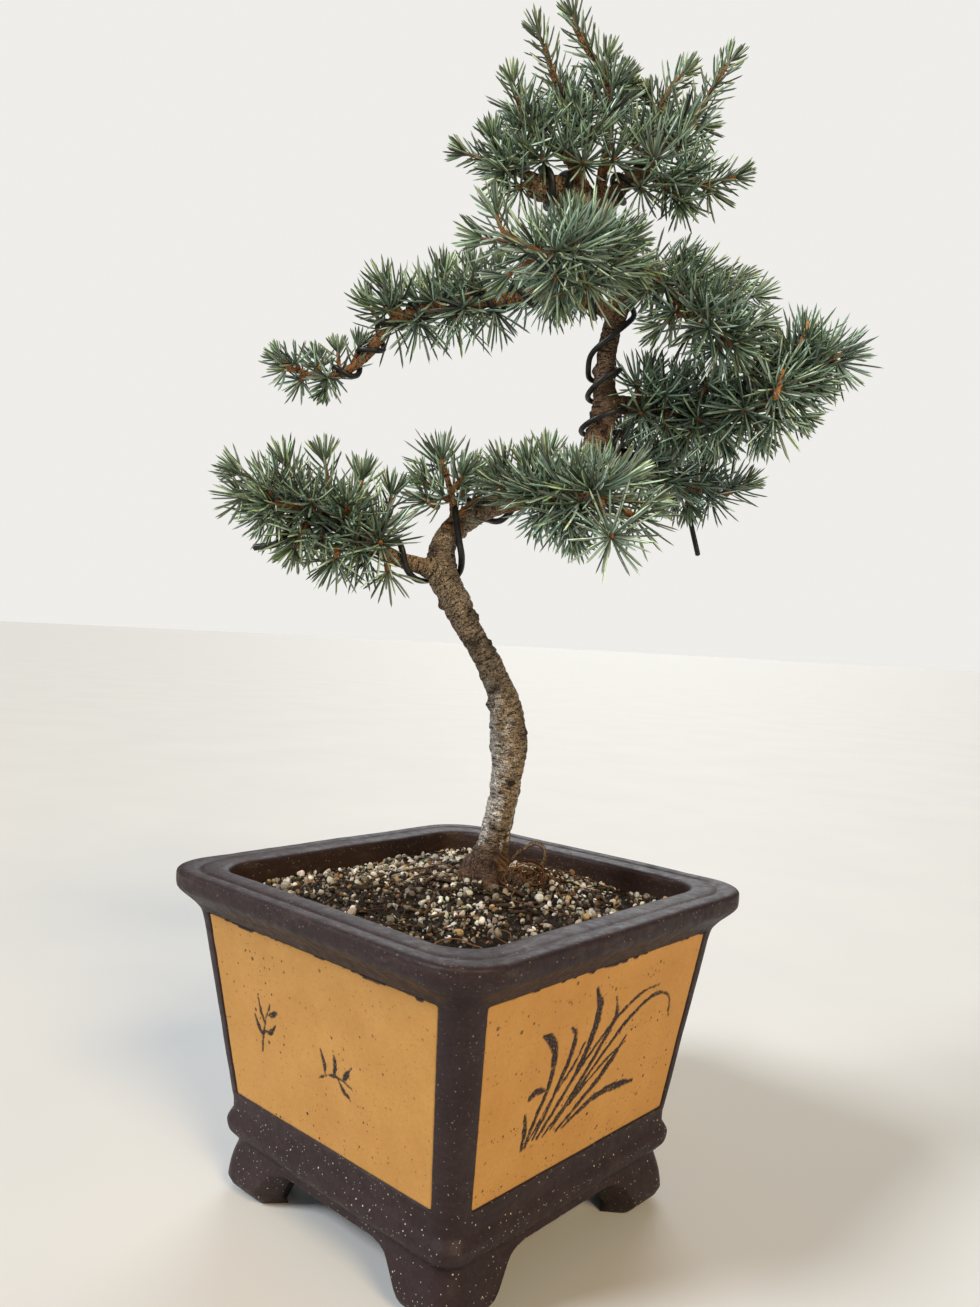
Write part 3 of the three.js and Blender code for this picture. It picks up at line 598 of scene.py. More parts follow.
def panel_beds(points):
    """How far the wall sinks in where a panel lies, as a move for each point."""
    move = np.zeros_like(points)
    height = points[:, 2]
    wall = np.interp(height, [PANEL_LOW, PANEL_HIGH], [WALL_LOW_HALF, WALL_HIGH_HALF])
    for side in range(4):
        a = side * math.pi / 2
        x = points[:, 0] * math.cos(a) + points[:, 1] * math.sin(a)
        y = -points[:, 0] * math.sin(a) + points[:, 1] * math.cos(a)
        v = (height - PANEL_LOW) / math.cos(LEAN)
        on_wall = (y < -60) & (np.abs(y + wall) < 1.0)
        depth = BED_DEPTH * step_up(-0.25, 0.2, panel_margin(x, v)) * on_wall
        depth *= (height > PANEL_LOW - 0.7) & (height < PANEL_HIGH + 0.9)
        move[:, 0] += -math.sin(a) * depth
        move[:, 1] += math.cos(a) * depth
    return move


def pot_rings(cols):
    """The pot's section as closed rings: out under the floor, up the wall, over the rim and down inside."""
    share = cols[:, 1]
    across = np.where(share < 1, share * (66 - 9.5), 66)
    low = np.interp(np.abs(across), *zip(*ARCH))
    angle = np.arctan2(*ring_at(cols, 60, 10).T[::-1])
    circle = np.stack([np.cos(angle), np.sin(angle)], 1) * DRAIN
    within_feet = ring_at(cols, FOOT_INSIDE, 4)
    rings, inside = [], []

    def ring(xy, z, within=0.0):
        rings.append(np.column_stack([xy, np.broadcast_to(z, len(cols))]))
        inside.append(np.full(len(cols), within))

    for t in (0.0, 0.06, 0.3, 0.65, 1.0):
        ring(circle * (1 - t) + within_feet * t, UNDERSIDE + (0.5 if t == 0 else 0))
    ring(within_feet, (low + UNDERSIDE) / 2)
    ring(within_feet, low + 0.6)
    for inset, rise in FOOT_EDGE:
        ring(ring_at(cols, wall_half(low + rise) - inset, 9.0), low + rise)
    foot_top = low + FOOT_EDGE[-1][1]
    for t in (0.12, 0.25, 0.4, 0.55, 0.7, 0.85, 1.0):
        z = foot_top * (1 - t) + APRON_TOP * t
        ring(ring_at(cols, wall_half(z), wall_radius(z)), z)
    for z in LEVELS:
        ring(ring_at(cols, wall_half(z), wall_radius(z)), z)
    for half, z in RIM_PATH:
        # The corner in plan grows from 15 at the rim's inner edge to 22 at its outer one.
        radius = 15 + (half - 72) * 7 / 17.4 if half > 71 else max(8, 14.6 - (71 - half) * 0.4)
        ring(ring_at(cols, half, radius), z, float(half < 72.6 and z < 131.5))
    for t in (0.4, 0.75, 0.97):
        ring(ring_at(cols, 50, 8) * (1 - t) + circle * t, FLOOR, 1.0)
    ring(circle, FLOOR - 0.5, 1.0)
    return np.vstack(rings), np.concatenate(inside)


def make_pot():
    cols = columns()
    points, inside = pot_rings(cols)
    wobble = clay_wobble(points) * (points[:, 2] > 1.5)
    outward = unit(points * [1, 1, 0])
    points = points + panel_beds(points) + outward * wobble[:, None]
    lifted = step_up(131.5, 132.6, points[:, 2])
    points[:, 2] += lifted * (0.25 * noise(points, 30, 8) + 0.08 * noise(points, 6, 9) - 0.25)
    quads = grid_quads(len(points) // len(cols), len(cols), close_rows=True)
    # The rim value rises toward the rim's top; the clay material paints its sheen by it.
    values = {"inside": inside, "rim": 0.35 + 0.65 * step_up(120, 131, points[:, 2])}
    return settle(new_piece("pot", points, [quads], values=values), CLAY, "clay", "pot_body")


# ---- Panels ----
# Brush marks are lines of (across, up, width) on a panel, in shares of it: 0 is its left or lower edge.
# The grass is drawn over a taller sheet, which GRASS_FOOT and GRASS_REACH set on the panel.

GRASS_FOOT, GRASS_REACH = 0.20, 0.83
GRASS = [
    [
        (0.235, 0.10, 1.5), (0.255, 0.22, 2.0), (0.29, 0.36, 2.3), (0.305, 0.50, 2.4), (0.30, 0.63, 3.3),
        (0.27, 0.72, 4.1), (0.235, 0.755, 1.6),
    ],
    [
        (0.265, 0.12, 1.2), (0.315, 0.27, 1.6), (0.35, 0.42, 2.0), (0.38, 0.56, 2.6), (0.385, 0.69, 1.9),
        (0.36, 0.74, 1.1),
    ],
    [
        (0.285, 0.11, 1.4), (0.35, 0.25, 1.7), (0.42, 0.42, 2.4), (0.47, 0.62, 3.4), (0.485, 0.80, 3.8),
        (0.455, 0.93, 1.6),
    ],
    [
        (0.315, 0.11, 1.1), (0.395, 0.24, 1.4), (0.47, 0.40, 2.0), (0.54, 0.58, 2.4), (0.58, 0.71, 1.9),
        (0.565, 0.83, 1.1),
    ],
    [
        (0.345, 0.13, 1.0), (0.44, 0.29, 1.4), (0.55, 0.48, 1.8), (0.67, 0.66, 1.8), (0.79, 0.74, 1.5),
        (0.875, 0.68, 1.2), (0.895, 0.54, 0.7),
    ],
    [
        (0.30, 0.16, 0.8), (0.385, 0.33, 1.3), (0.49, 0.54, 1.7), (0.61, 0.71, 1.4), (0.71, 0.79, 1.1),
        (0.80, 0.80, 0.7),
    ],
    [(0.375, 0.10, 1.2), (0.465, 0.21, 1.8), (0.55, 0.32, 2.8), (0.62, 0.44, 2.2), (0.66, 0.53, 0.9)],
    [(0.25, 0.13, 0.9), (0.325, 0.32, 1.1), (0.405, 0.49, 1.3), (0.44, 0.61, 0.8)],
    [(0.36, 0.16, 0.8), (0.47, 0.31, 1.1), (0.58, 0.43, 1.3), (0.66, 0.49, 0.8)],
    [(0.40, 0.095, 1.0), (0.46, 0.15, 1.6), (0.56, 0.205, 2.8), (0.67, 0.20, 3.0), (0.745, 0.18, 1.1)],
    [(0.22, 0.09, 1.6), (0.222, 0.21, 2.2), (0.21, 0.30, 1.1)],
    [(0.22, 0.40, 1.9), (0.245, 0.42, 2.7), (0.285, 0.40, 1.1)],
]
GRASS = [[(a, round(GRASS_FOOT + (b - 0.10) * GRASS_REACH, 3), w) for a, b, w in line] for line in GRASS]
SPRIGS = [
    [(0.215, 0.34, 0.6), (0.225, 0.42, 0.9), (0.245, 0.52, 0.8), (0.275, 0.62, 0.5)],
    [(0.228, 0.43, 0.5), (0.205, 0.47, 1.9), (0.190, 0.53, 0.5)],
    [(0.240, 0.50, 0.5), (0.225, 0.56, 2.0), (0.215, 0.63, 0.5)],
    [(0.235, 0.46, 0.5), (0.268, 0.47, 2.0), (0.295, 0.52, 0.5)],
    [(0.258, 0.56, 0.5), (0.285, 0.57, 1.9), (0.310, 0.60, 0.5)],
    [(0.500, 0.36, 0.6), (0.545, 0.40, 1.0), (0.600, 0.41, 0.9), (0.655, 0.39, 0.5)],
    [(0.530, 0.39, 0.5), (0.528, 0.45, 2.1), (0.515, 0.52, 0.5)],
    [(0.570, 0.41, 0.5), (0.580, 0.47, 2.1), (0.575, 0.54, 0.5)],
    [(0.610, 0.41, 0.5), (0.632, 0.45, 2.0), (0.655, 0.50, 0.5)],
    [(0.590, 0.40, 0.5), (0.610, 0.36, 1.9), (0.640, 0.33, 0.5)],
]


def stroke_cover(u, v, strokes):
    """How much of each place the brush marks cover."""
    cover = np.zeros(len(u))
    wide = 2 * 63
    spot = np.column_stack([u, v, np.zeros(len(u))])
    ragged = 0.30 * noise(spot, 1.1, 21) + 0.22 * noise(spot, 3.0, 22)
    for line in strokes:
        marks = smooth_line([((a - 0.5) * wide, b * PANEL_SLOPE, w, 0) for a, b, w in line], 0.8)
        near = np.full(len(u), 9.0)
        for x, y, w, _ in marks:
            near = np.minimum(near, np.hypot(u - x, v - y) - w / 2)
        cover = np.maximum(cover, step_up(0.28, -0.12, near + ragged))
    return cover


PANEL_BACK = 1.25
PANEL_GAP = 0.12


def panel_grid(pitch):
    """Places over the panel, closer together near its edges: across, up, and how many of each."""
    nv = round(PANEL_SLOPE / pitch)
    nu = round(2 * PANEL_HALVES[1] / pitch)
    u = np.linspace(-1, 1, nu + 1)
    u = np.sign(u) * (1 - (1 - np.abs(u)) ** 1.06)
    vv, uu = np.meshgrid(np.linspace(0, PANEL_SLOPE, nv + 1), u, indexing="ij")
    end = np.maximum(0, np.abs(vv - PANEL_SLOPE / 2) - (PANEL_SLOPE / 2 - PANEL_CORNER))
    half = panel_half(vv) - PANEL_CORNER + np.sqrt(np.maximum(PANEL_CORNER**2 - end**2, 0))
    uu = uu * (half - PANEL_GAP)
    return uu.ravel(), np.clip(vv.ravel(), 0.1, PANEL_SLOPE - 0.1), nu, nv


def make_panel(side, name, strokes):
    u, v, nu, nv = panel_grid(0.5 if strokes else 1.1)
    spot = np.column_stack([u + side * 300, v, np.zeros(len(u))])
    margin = panel_margin(u, v)
    ink = stroke_cover(u, v, strokes) if strokes else np.zeros(len(u))
    top = step_up(PANEL_SLOPE - 4, PANEL_SLOPE, v)
    chips = np.maximum(0, noise(spot, 3.4, 33) + 0.5 * noise(spot, 14, 34) - 0.15)
    ragged = 0.06 + 0.16 * noise(spot, 1.6, 31) + 0.10 * noise(spot, 5.0, 32) + top * (0.25 + 1.9 * chips)
    edge = step_up(0.22, -0.12, margin - ragged)
    depth = 0.30 + 0.25 * step_up(0.9, 0.0, margin) + 0.20 * ink - 0.15 * edge * top
    front = panel_point(u, v, depth, side)
    wobble = clay_wobble(front) - 0.05
    front = front + unit(front * [1, 1, 0]) * wobble[:, None]
    width = nu + 1
    rim = np.concatenate(
        [
            np.arange(width),
            np.arange(1, nv + 1) * width + nu,
            nv * width + np.arange(nu - 1, -1, -1),
            np.arange(nv - 1, 0, -1) * width,
        ]
    )
    count, around = len(front), len(rim)
    back = panel_point(u[rim], v[rim], np.full(around, PANEL_BACK), side)
    middle = panel_point(np.zeros(1), np.full(1, PANEL_SLOPE / 2), np.full(1, PANEL_BACK), side)
    k = np.arange(around)
    k2 = (k + 1) % around
    walls = np.stack([rim[k], count + k, count + k2, rim[k2]], 1)
    fan = np.stack([count + k2, count + k, np.full(around, count + around)], 1)
    hidden = around + 1
    values = {
        "ink": np.concatenate([ink, np.zeros(hidden)]),
        "edge": np.concatenate([edge, np.ones(hidden)]),
    }
    faces = [grid_quads(nv + 1, width, close_width=False), walls, fan]
    piece = new_piece(name, np.vstack([front, back, middle]), faces, values=values)
    return settle(piece, SLIP, "slip", name)


# ---- Soil ----

SOIL_EDGE, SOIL_MOUND, SOIL_MOUND_WIDTH, SOIL_CENTRE = 123.5, 8.5, 40, (1.4, 12.7)


def soil_height(x, y):
    far = np.hypot(x - SOIL_CENTRE[0], y - SOIL_CENTRE[1]) / SOIL_MOUND_WIDTH
    ripple = 0.7 * np.sin(x / 9 + 1) * np.cos(y / 11)
    return SOIL_EDGE + SOIL_MOUND * np.exp(-far * far) + ripple


def soil_clumps(x, y):
    at = np.column_stack([x, y, np.zeros(len(x))])
    return 0.8 * noise(at, 7, 41) + 0.6 * noise(at, 3, 42) + 0.35 * noise(at, 1.4, 43)


def make_soil():
    cols = columns()
    rim = ring_at(cols, 70.9, 15)
    rings = []
    for half, z in ((52, 29.0), (59.0, 29.2), (60.5, 45), (69.6, 118)):
        rings.append(np.column_stack([ring_at(cols, half, 12), np.full(len(cols), z)]))
    for t in np.linspace(1, 0.012, 66):
        x, y = rim.T * t + np.array(SOIL_CENTRE)[:, None] * (1 - t)
        clumps = soil_clumps(x, y) * min(1, (1 - t) * 12 + 0.2)
        rings.append(np.column_stack([x, y, soil_height(x, y) + clumps - 0.6]))
    ends = np.array([[0, 0, 29.0], [*SOIL_CENTRE, float(soil_height(*SOIL_CENTRE))]])
    points = np.vstack([*rings, ends])
    shade = 0.5 + 0.5 * noise(points, 4, 44)
    colours = np.array([0.006, 0.004, 0.003]) + shade[:, None] * np.array([0.022, 0.014, 0.009])
    faces = [grid_quads(len(rings), len(cols)), end_fans(len(rings), len(cols))]
    return settle(new_piece("soil_ground", points, faces, colours=colours), HUMUS, "soil", "soil_mass")


# Pale stones come first; the first PALE_KINDS of these are picked in pale places, the last ones in dark.
GRIT_COLOURS = np.array(
    [
        (0.68, 0.63, 0.54), (0.52, 0.46, 0.37), (0.84, 0.81, 0.75), (0.38, 0.31, 0.23), (0.50, 0.33, 0.15),
        (0.30, 0.26, 0.21), (0.18, 0.15, 0.12), (0.070, 0.053, 0.041), (0.030, 0.021, 0.016),
        (0.28, 0.15, 0.07),
    ]
)
PALE_KINDS, PALE_CHANCES = 6, [0.28, 0.17, 0.22, 0.13, 0.08, 0.12]
DARK_KINDS, DARK_CHANCES = range(5, 10), [0.14, 0.18, 0.30, 0.28, 0.10]
# The zone at the front corner is painted shade: the soil there is made dark, with dark stones and fewer
# pale ones.
DARK_ZONES = [(12, 20, 420, 0.75), (56, -56, 520, 0.90)]  # x, y, spread, how dark


def pebble_template(subdivisions):
    shape = bmesh.new()
    bmesh.ops.create_icosphere(shape, subdivisions=subdivisions, radius=1)
    points = np.array([v.co for v in shape.verts])
    faces = np.array([[v.index for v in f.verts] for f in shape.faces])
    shape.free()
    return points, faces


def cells_uv(count, template):
    """The template's corners, shrunk into a cell of its own for each copy."""
    across = math.ceil(math.sqrt(count))
    k = np.arange(count)
    origin = np.stack([k % across, k // across], 1)
    inner = 0.07 + template * 0.86
    return ((origin[:, None] + inner[None]) / across).reshape(-1, 2)


def pebbles(rng, centres, sizes, subdivisions):
    """Angular stones: points, faces and bake cells."""
    template, faces = pebble_template(subdivisions)
    count = len(centres)
    points = np.broadcast_to(template, (count, *template.shape)).copy()
    for _ in range(5):
        cut = unit(rng.normal(size=(count, 3)))
        reach = rng.uniform(0.45, 0.85, count)
        over = np.maximum(0, np.einsum("nvk,nk->nv", points, cut) - reach[:, None])
        points -= over[:, :, None] * cut[:, None]
    points *= rng.uniform([0.85, 0.65, 0.5], [1.15, 0.95, 0.8], (count, 3))[:, None]
    axes = np.linalg.qr(rng.normal(size=(count, 3, 3)))[0]
    points = np.einsum("nvk,nkl->nvl", points, axes) * sizes[:, None, None] + centres[:, None]
    all_faces = faces[None] + (np.arange(count) * len(template))[:, None, None]
    # Each face takes a corner triangle of a small grid in its stone's cell.
    side = math.ceil(math.sqrt(len(faces)))
    f = np.arange(len(faces))
    triangle = np.array([[0.08, 0.08], [0.92, 0.08], [0.08, 0.92]])
    corner = np.stack([f % side, f // side], 1)[:, None] + triangle
    uv = cells_uv(count, (corner / side).reshape(-1, 2))
    return points.reshape(-1, 3), all_faces.reshape(-1, 3), uv


GRIT_REACH, GRIT_CORNER, TRUNK_CLEAR = 69.5, 15, 10.5


def on_soil(rng, pitch):
    """Places over the soil, evenly but not in line."""
    line = np.arange(-GRIT_REACH, GRIT_REACH, pitch)
    x, y = (v.ravel() for v in np.meshgrid(line, line))
    x = x + rng.uniform(-0.6, 0.6, x.size) * pitch
    y = y + rng.uniform(-0.6, 0.6, y.size) * pitch
    straight = GRIT_REACH - GRIT_CORNER
    corner = np.hypot(np.maximum(np.abs(x) - straight, 0), np.maximum(np.abs(y) - straight, 0))
    clear = np.hypot(x - SOIL_CENTRE[0], y - SOIL_CENTRE[1]) > TRUNK_CLEAR
    keep = (corner < GRIT_CORNER) & clear
    return x[keep], y[keep]


def soil_darkness(x, y):
    at = np.column_stack([x, y, np.zeros(len(x))])
    patches = 0.47 + 0.5 * noise(at, 24, 51) + 0.35 * noise(at, 9, 52)
    dark = np.clip(patches + (x - y - 20) / 330, 0.10, 0.95)
    # The dark zones, among them the painted shade at the front corner.
    for zone_x, zone_y, spread, most in DARK_ZONES:
        dark = np.maximum(dark, most * np.exp(-((x - zone_x) ** 2 + (y - zone_y) ** 2) / spread))
    return dark


def make_grit():
    rng = np.random.default_rng(11)
    for name, pitch, low, high, subdivisions, shade in (
        ("grit_coarse", 2.9, 0.9, 1.8, 2, 1),
        ("grit_fine", 1.75, 0.4, 0.95, 1, 0.5),
    ):
        x, y = on_soil(rng, pitch)
        dark = soil_darkness(x, y)
        keep = rng.random(len(x)) < 0.95 * (1 - 0.65 * dark)
        x, y, dark = x[keep], y[keep], dark[keep]
        count = len(x)
        sizes = rng.uniform(low, high, count) * rng.choice([0.8, 1, 1, 1.25], count)
        sizes *= np.where(rng.random(count) < 0.03, 1.35, 1)
        z = soil_height(x, y) + soil_clumps(x, y) * 0.8 - 0.5 + sizes * rng.uniform(0.05, 0.7, count)
        points, faces, uv = pebbles(rng, np.column_stack([x, y, z]), sizes, subdivisions)
        pale = rng.random(count) > dark
        pale_pick = rng.choice(PALE_KINDS, count, p=PALE_CHANCES)
        dark_pick = rng.choice(DARK_KINDS, count, p=DARK_CHANCES)
        colours = GRIT_COLOURS[np.where(pale, pale_pick, dark_pick)]
        colours = colours * rng.uniform(0.7, 1.15, (count, 1)) * rng.uniform(0.94, 1.06, (count, 3))
        colours = np.repeat(colours * shade, len(points) // count, 0)
        stones = new_piece(name, points, [faces], colours=colours, uv=uv, smooth=False)
        settle(stones, GRIT, "soil")


LITTER_REACH = 66
ROOTLET_COLOURS = [(0.10, 0.052, 0.026), (0.17, 0.085, 0.04), (0.05, 0.03, 0.02)]
CHIP_COLOURS = [(0.055, 0.034, 0.022), (0.09, 0.055, 0.03), (0.03, 0.02, 0.014)]
TANGLE_COLOURS = [(0.10, 0.045, 0.02), (0.055, 0.028, 0.014), (0.17, 0.075, 0.03)]
MOSS_GREEN = (0.10, 0.15, 0.03)
TANGLE_MIDDLE, TANGLE_SPREAD = np.array([29, 0, 134]), [3.8, 3, 1.6]


def add_rootlets(litter, rng):
    """Thin roots that wander over the soil."""
    for _ in range(70):
        x, y = rng.uniform(-LITTER_REACH, LITTER_REACH, 2)
        if rng.random() < 0.35:
            x, y = SOIL_CENTRE + rng.normal(0, 24, 2)
        x, y = np.clip((x, y), -LITTER_REACH, LITTER_REACH)
        heading, turn = rng.uniform(0, 2 * np.pi), rng.normal(0, 0.35)
        line = []
        for _ in range(rng.integers(6, 16)):
            line.append((x, y))
            heading += turn + rng.normal(0, 0.35)
            x, y = x + 2.2 * math.cos(heading), y + 2.2 * math.sin(heading)
            if max(abs(x), abs(y)) > LITTER_REACH + 2:
                break
        if len(line) < 3:
            continue
        x, y = np.array(line).T
        thick = rng.uniform(0.22, 0.5)
        lift = 0.9 + 1.6 * rng.random() * np.sin(np.linspace(0, np.pi, len(x)))
        z = soil_height(x, y) + soil_clumps(x, y) * 0.6 + lift
        path = smooth_line(np.column_stack([x, y, z, np.full(len(x), thick)]), 0.9)
        radii = path[:, 3] * np.linspace(1.1, 0.5, len(path))
        colour = rng.choice(ROOTLET_COLOURS)
        litter.add(*tube(path[:, :3], radii, 5), colour * rng.uniform(0.8, 1.3))


def add_chips(litter, rng):
    """Short bits of bark and twig."""
    for _ in range(150):
        x, y = rng.uniform(-LITTER_REACH, LITTER_REACH, 2)
        if rng.random() < 0.5:
            near_trunk = np.array(SOIL_CENTRE) + rng.normal(0, 26, 2)
            x, y = np.clip(near_trunk, -LITTER_REACH, LITTER_REACH)
        heading = rng.uniform(0, 2 * np.pi)
        size = rng.uniform(1.2, 3.6)
        ends = np.array([x, y]) + np.outer([-size, 0, size], [math.cos(heading), math.sin(heading)])
        z = soil_height(*ends.T) + rng.uniform(0.4, 1.6) + rng.uniform(-0.8, 0.8) * np.array([-1, 0, 1])
        path = line_through(np.column_stack([ends, z]), 1.0)
        colour = rng.choice(CHIP_COLOURS)
        litter.add(*tube(path, rng.uniform(0.35, 0.9), 5), colour * rng.uniform(0.8, 1.3))


def add_moss(litter, rng):
    for _ in range(26):
        x, y = rng.uniform(-LITTER_REACH, LITTER_REACH, 2)
        centre = np.array([[x, y, float(soil_height(x, y)) + 1.2]])
        points, faces, _ = pebbles(rng, centre, np.array([0.7]), 1)
        litter.add(points, [faces], MOSS_GREEN)


def add_root_tangle(litter, rng):
    """Loops of fine root beside the trunk."""
    for _ in range(30):
        turn = rng.uniform(0, 6.3) + np.linspace(0, rng.uniform(1.5, 4.0), 9)
        reach = rng.uniform(2.5, 6.5)
        middle = TANGLE_MIDDLE + rng.normal(0, TANGLE_SPREAD)
        flat = rng.uniform(0.4, 1.0)
        line = middle + reach * np.stack([np.cos(turn), 0.7 * np.sin(turn * 0.7), flat * np.sin(turn)], 1)
        colour = rng.choice(TANGLE_COLOURS)
        points, faces = tube(line_through(line, 0.8), rng.uniform(0.16, 0.42), 5)
        litter.add(tree_to_pot(points), faces, colour * rng.uniform(0.8, 1.3))


def make_litter():
    rng = np.random.default_rng(12)
    litter = Shape()
    add_rootlets(litter, rng)
    add_chips(litter, rng)
    add_moss(litter, rng)
    add_root_tangle(litter, rng)
    settle(litter.piece("soil_litter"), HUMUS, "soil")


# ---- Wood ----

# Knots of the trunk: (share of its length, turn round it, height).
KNOTS = [
    (0.118, 0.6, 1.5), (0.150, 5.0, 1.0), (0.165, 3.4, 1.3), (0.185, 0.3, 1.2), (0.20, 1.2, 1.3),
    (0.222, 4.2, 1.2), (0.245, 5.6, 1.5), (0.262, 1.6, 1.2), (0.285, 3.0, 1.3), (0.318, 0.2, 1.7),
    (0.335, 4.0, 1.3), (0.345, 3.1, 1.0), (0.360, 5.6, 1.2), (0.372, 4.4, 1.4), (0.402, 1.9, 1.5),
    (0.43, 0.1, 1.8), (0.46, 2.8, 1.3), (0.497, 5.6, 1.2), (0.55, 1.0, 1.3), (0.66, 3.7, 1.8),
    (0.700, 5.4, 1.6), (0.715, 0.4, 2.3), (0.728, 3.4, 2.0), (0.74, 2.4, 2.4), (0.752, 4.6, 2.2),
    (0.80, 1.3, 1.4), (0.86, 5.0, 1.5), (0.91, 2.0, 1.3),
]
BARK_LOW = np.array([0.078, 0.045, 0.032])
BARK_GREY = np.array([0.270, 0.205, 0.140])
# BARK_PALE colours the real pale streaks and also the painted light on the trunk's left side.
BARK_PALE = np.array([0.62, 0.585, 0.55])
BARK_BROWN = np.array([0.180, 0.115, 0.074])
BARK_ORANGE = np.array([0.30, 0.145, 0.06])
SCAR_BROWN = np.array([0.034, 0.019, 0.017])
STUB_WOOD = np.array([0.36, 0.23, 0.13])
ROOT_BROWN = np.array([0.15, 0.085, 0.045])
WOOD_VOXEL = 0.62
BURR_HEIGHT = 339


def joined_wood(lines):
    """The limbs as tubes, joined into one skin of small voxels: its points, their normals and its quads."""
    rough = Shape()
    for points in lines.values():
        path = smooth_line(points, 1.2)
        rough.add(*tube(path[:, :3], np.maximum(path[:, 3], 0.7), 16))
    wood = new_piece("wood", np.concatenate(rough.points), rough.faces)
    mesh = wood.data
    voxels = wood.modifiers.new("voxels", "REMESH")
    voxels.mode, voxels.voxel_size, voxels.adaptivity = "VOXEL", WOOD_VOXEL * MM, 0
    soft = wood.modifiers.new("soft", "SMOOTH")
    soft.factor, soft.iterations = 0.5, 4
    graph = bpy.context.evaluated_depsgraph_get()
    made = bpy.data.meshes.new_from_object(wood.evaluated_get(graph))
    bpy.data.objects.remove(wood)
    bpy.data.meshes.remove(mesh)
    co, normal = (np.empty(len(made.vertices) * 3, np.float32) for _ in range(2))
    made.vertices.foreach_get("co", co)
    made.vertex_normals.foreach_get("vector", normal)
    loops = np.empty(len(made.loops), np.int32)
    made.loops.foreach_get("vertex_index", loops)
    bpy.data.meshes.remove(made)
    co = (co.reshape(-1, 3).astype(float) - POT_MIDDLE) / MM
    return co, normal.reshape(-1, 3).astype(float), loops.reshape(-1, 4)


class Bark:
    """For each point of the wood's skin, where it lies on the limb it belongs to."""

    def __init__(self, lines, co):
        at, along, owner, across, beside = [], [], [], [], []
        for index, points in enumerate(lines.values()):
            path = smooth_line(points, 0.6)
            _, normal, side = frames_along(path[:, :3])
            steps = np.linalg.norm(np.diff(path[:, :3], axis=0), axis=1)
            at.append(path)
            along.append(np.concatenate([[0], np.cumsum(steps)]))
            owner.append(np.full(len(path), index))
            across.append(normal)
            beside.append(side)
        at, owner = np.vstack(at), np.concatenate(owner)
        finder = KDTree(len(at))
        for k, p in enumerate(at):
            finder.insert(p[:3], k)
        finder.balance()
        near = np.array([finder.find(p)[1] for p in co])
        offset = co - at[near, :3]
        over, up = (np.einsum("nk,nk->n", offset, np.concatenate(v)[near]) for v in (across, beside))
        self.angle = np.arctan2(up, over)
        self.radius, self.along = at[near, 3], np.concatenate(along)[near]
        self.owner, self.names = owner[near], list(lines)
        self.height = co[:, 2]
        self.length = along[0].max()
        round_limb = [np.cos(self.angle) * self.radius, np.sin(self.angle) * self.radius]
        self.wrap = np.column_stack([*round_limb, self.along + self.owner * 53.0])

    def on(self, names):
        """Whether each point is on one of those limbs."""
        return np.isin(self.owner, [self.names.index(name) for name in names])


def wood_rise(bark, co):
    """How far bark stands out at each point, and how dark its knots' scars are."""
    wrap, radius = bark.wrap, bark.radius
    size = np.clip(radius / 5, 0.15, 1.15)
    rings = noise(wrap * [0.42, 0.42, 1.9], 2.6, 61)
    cracks = np.maximum(0, 0.25 - np.abs(noise(wrap * [0.5, 0.5, 2.6], 4.0, 62))) * 4
    lumps = noise(co, 9, 63) * 0.5 + noise(co, 4, 64) * 0.28
    flare = step_up(158, 128, bark.height)
    furrows = -np.abs(noise(wrap * [1, 1, 0.22], 2.3, 65)) * 1.1 * flare
    rise = size * (0.24 * rings - 0.34 * cracks + lumps) + furrows + 0.10 * noise(co, 1.1, 66)
    is_trunk = bark.on(["trunk"])
    scar = np.zeros(len(co))
    for share, turn, height in KNOTS:
        dx = bark.along - share * bark.length
        dy = np.angle(np.exp(1j * (bark.angle - turn))) * radius
        far = np.hypot(dx, dy)
        hump = np.exp(-((far / 2.3) ** 2)) - 0.34 * np.exp(-(((far - 3.6) / 1.0) ** 2))
        rise += is_trunk * height * hump
        scar += is_trunk * np.exp(-(((far - 0.6) / 1.5) ** 2))
    fibres = bark.on(["stub"]) * noise(wrap * [1, 1, 0.12], 1.3, 67) * 0.7
    return rise + fibres, scar


def blend(tint, colour, share):
    return tint + (colour - tint) * share[:, None]


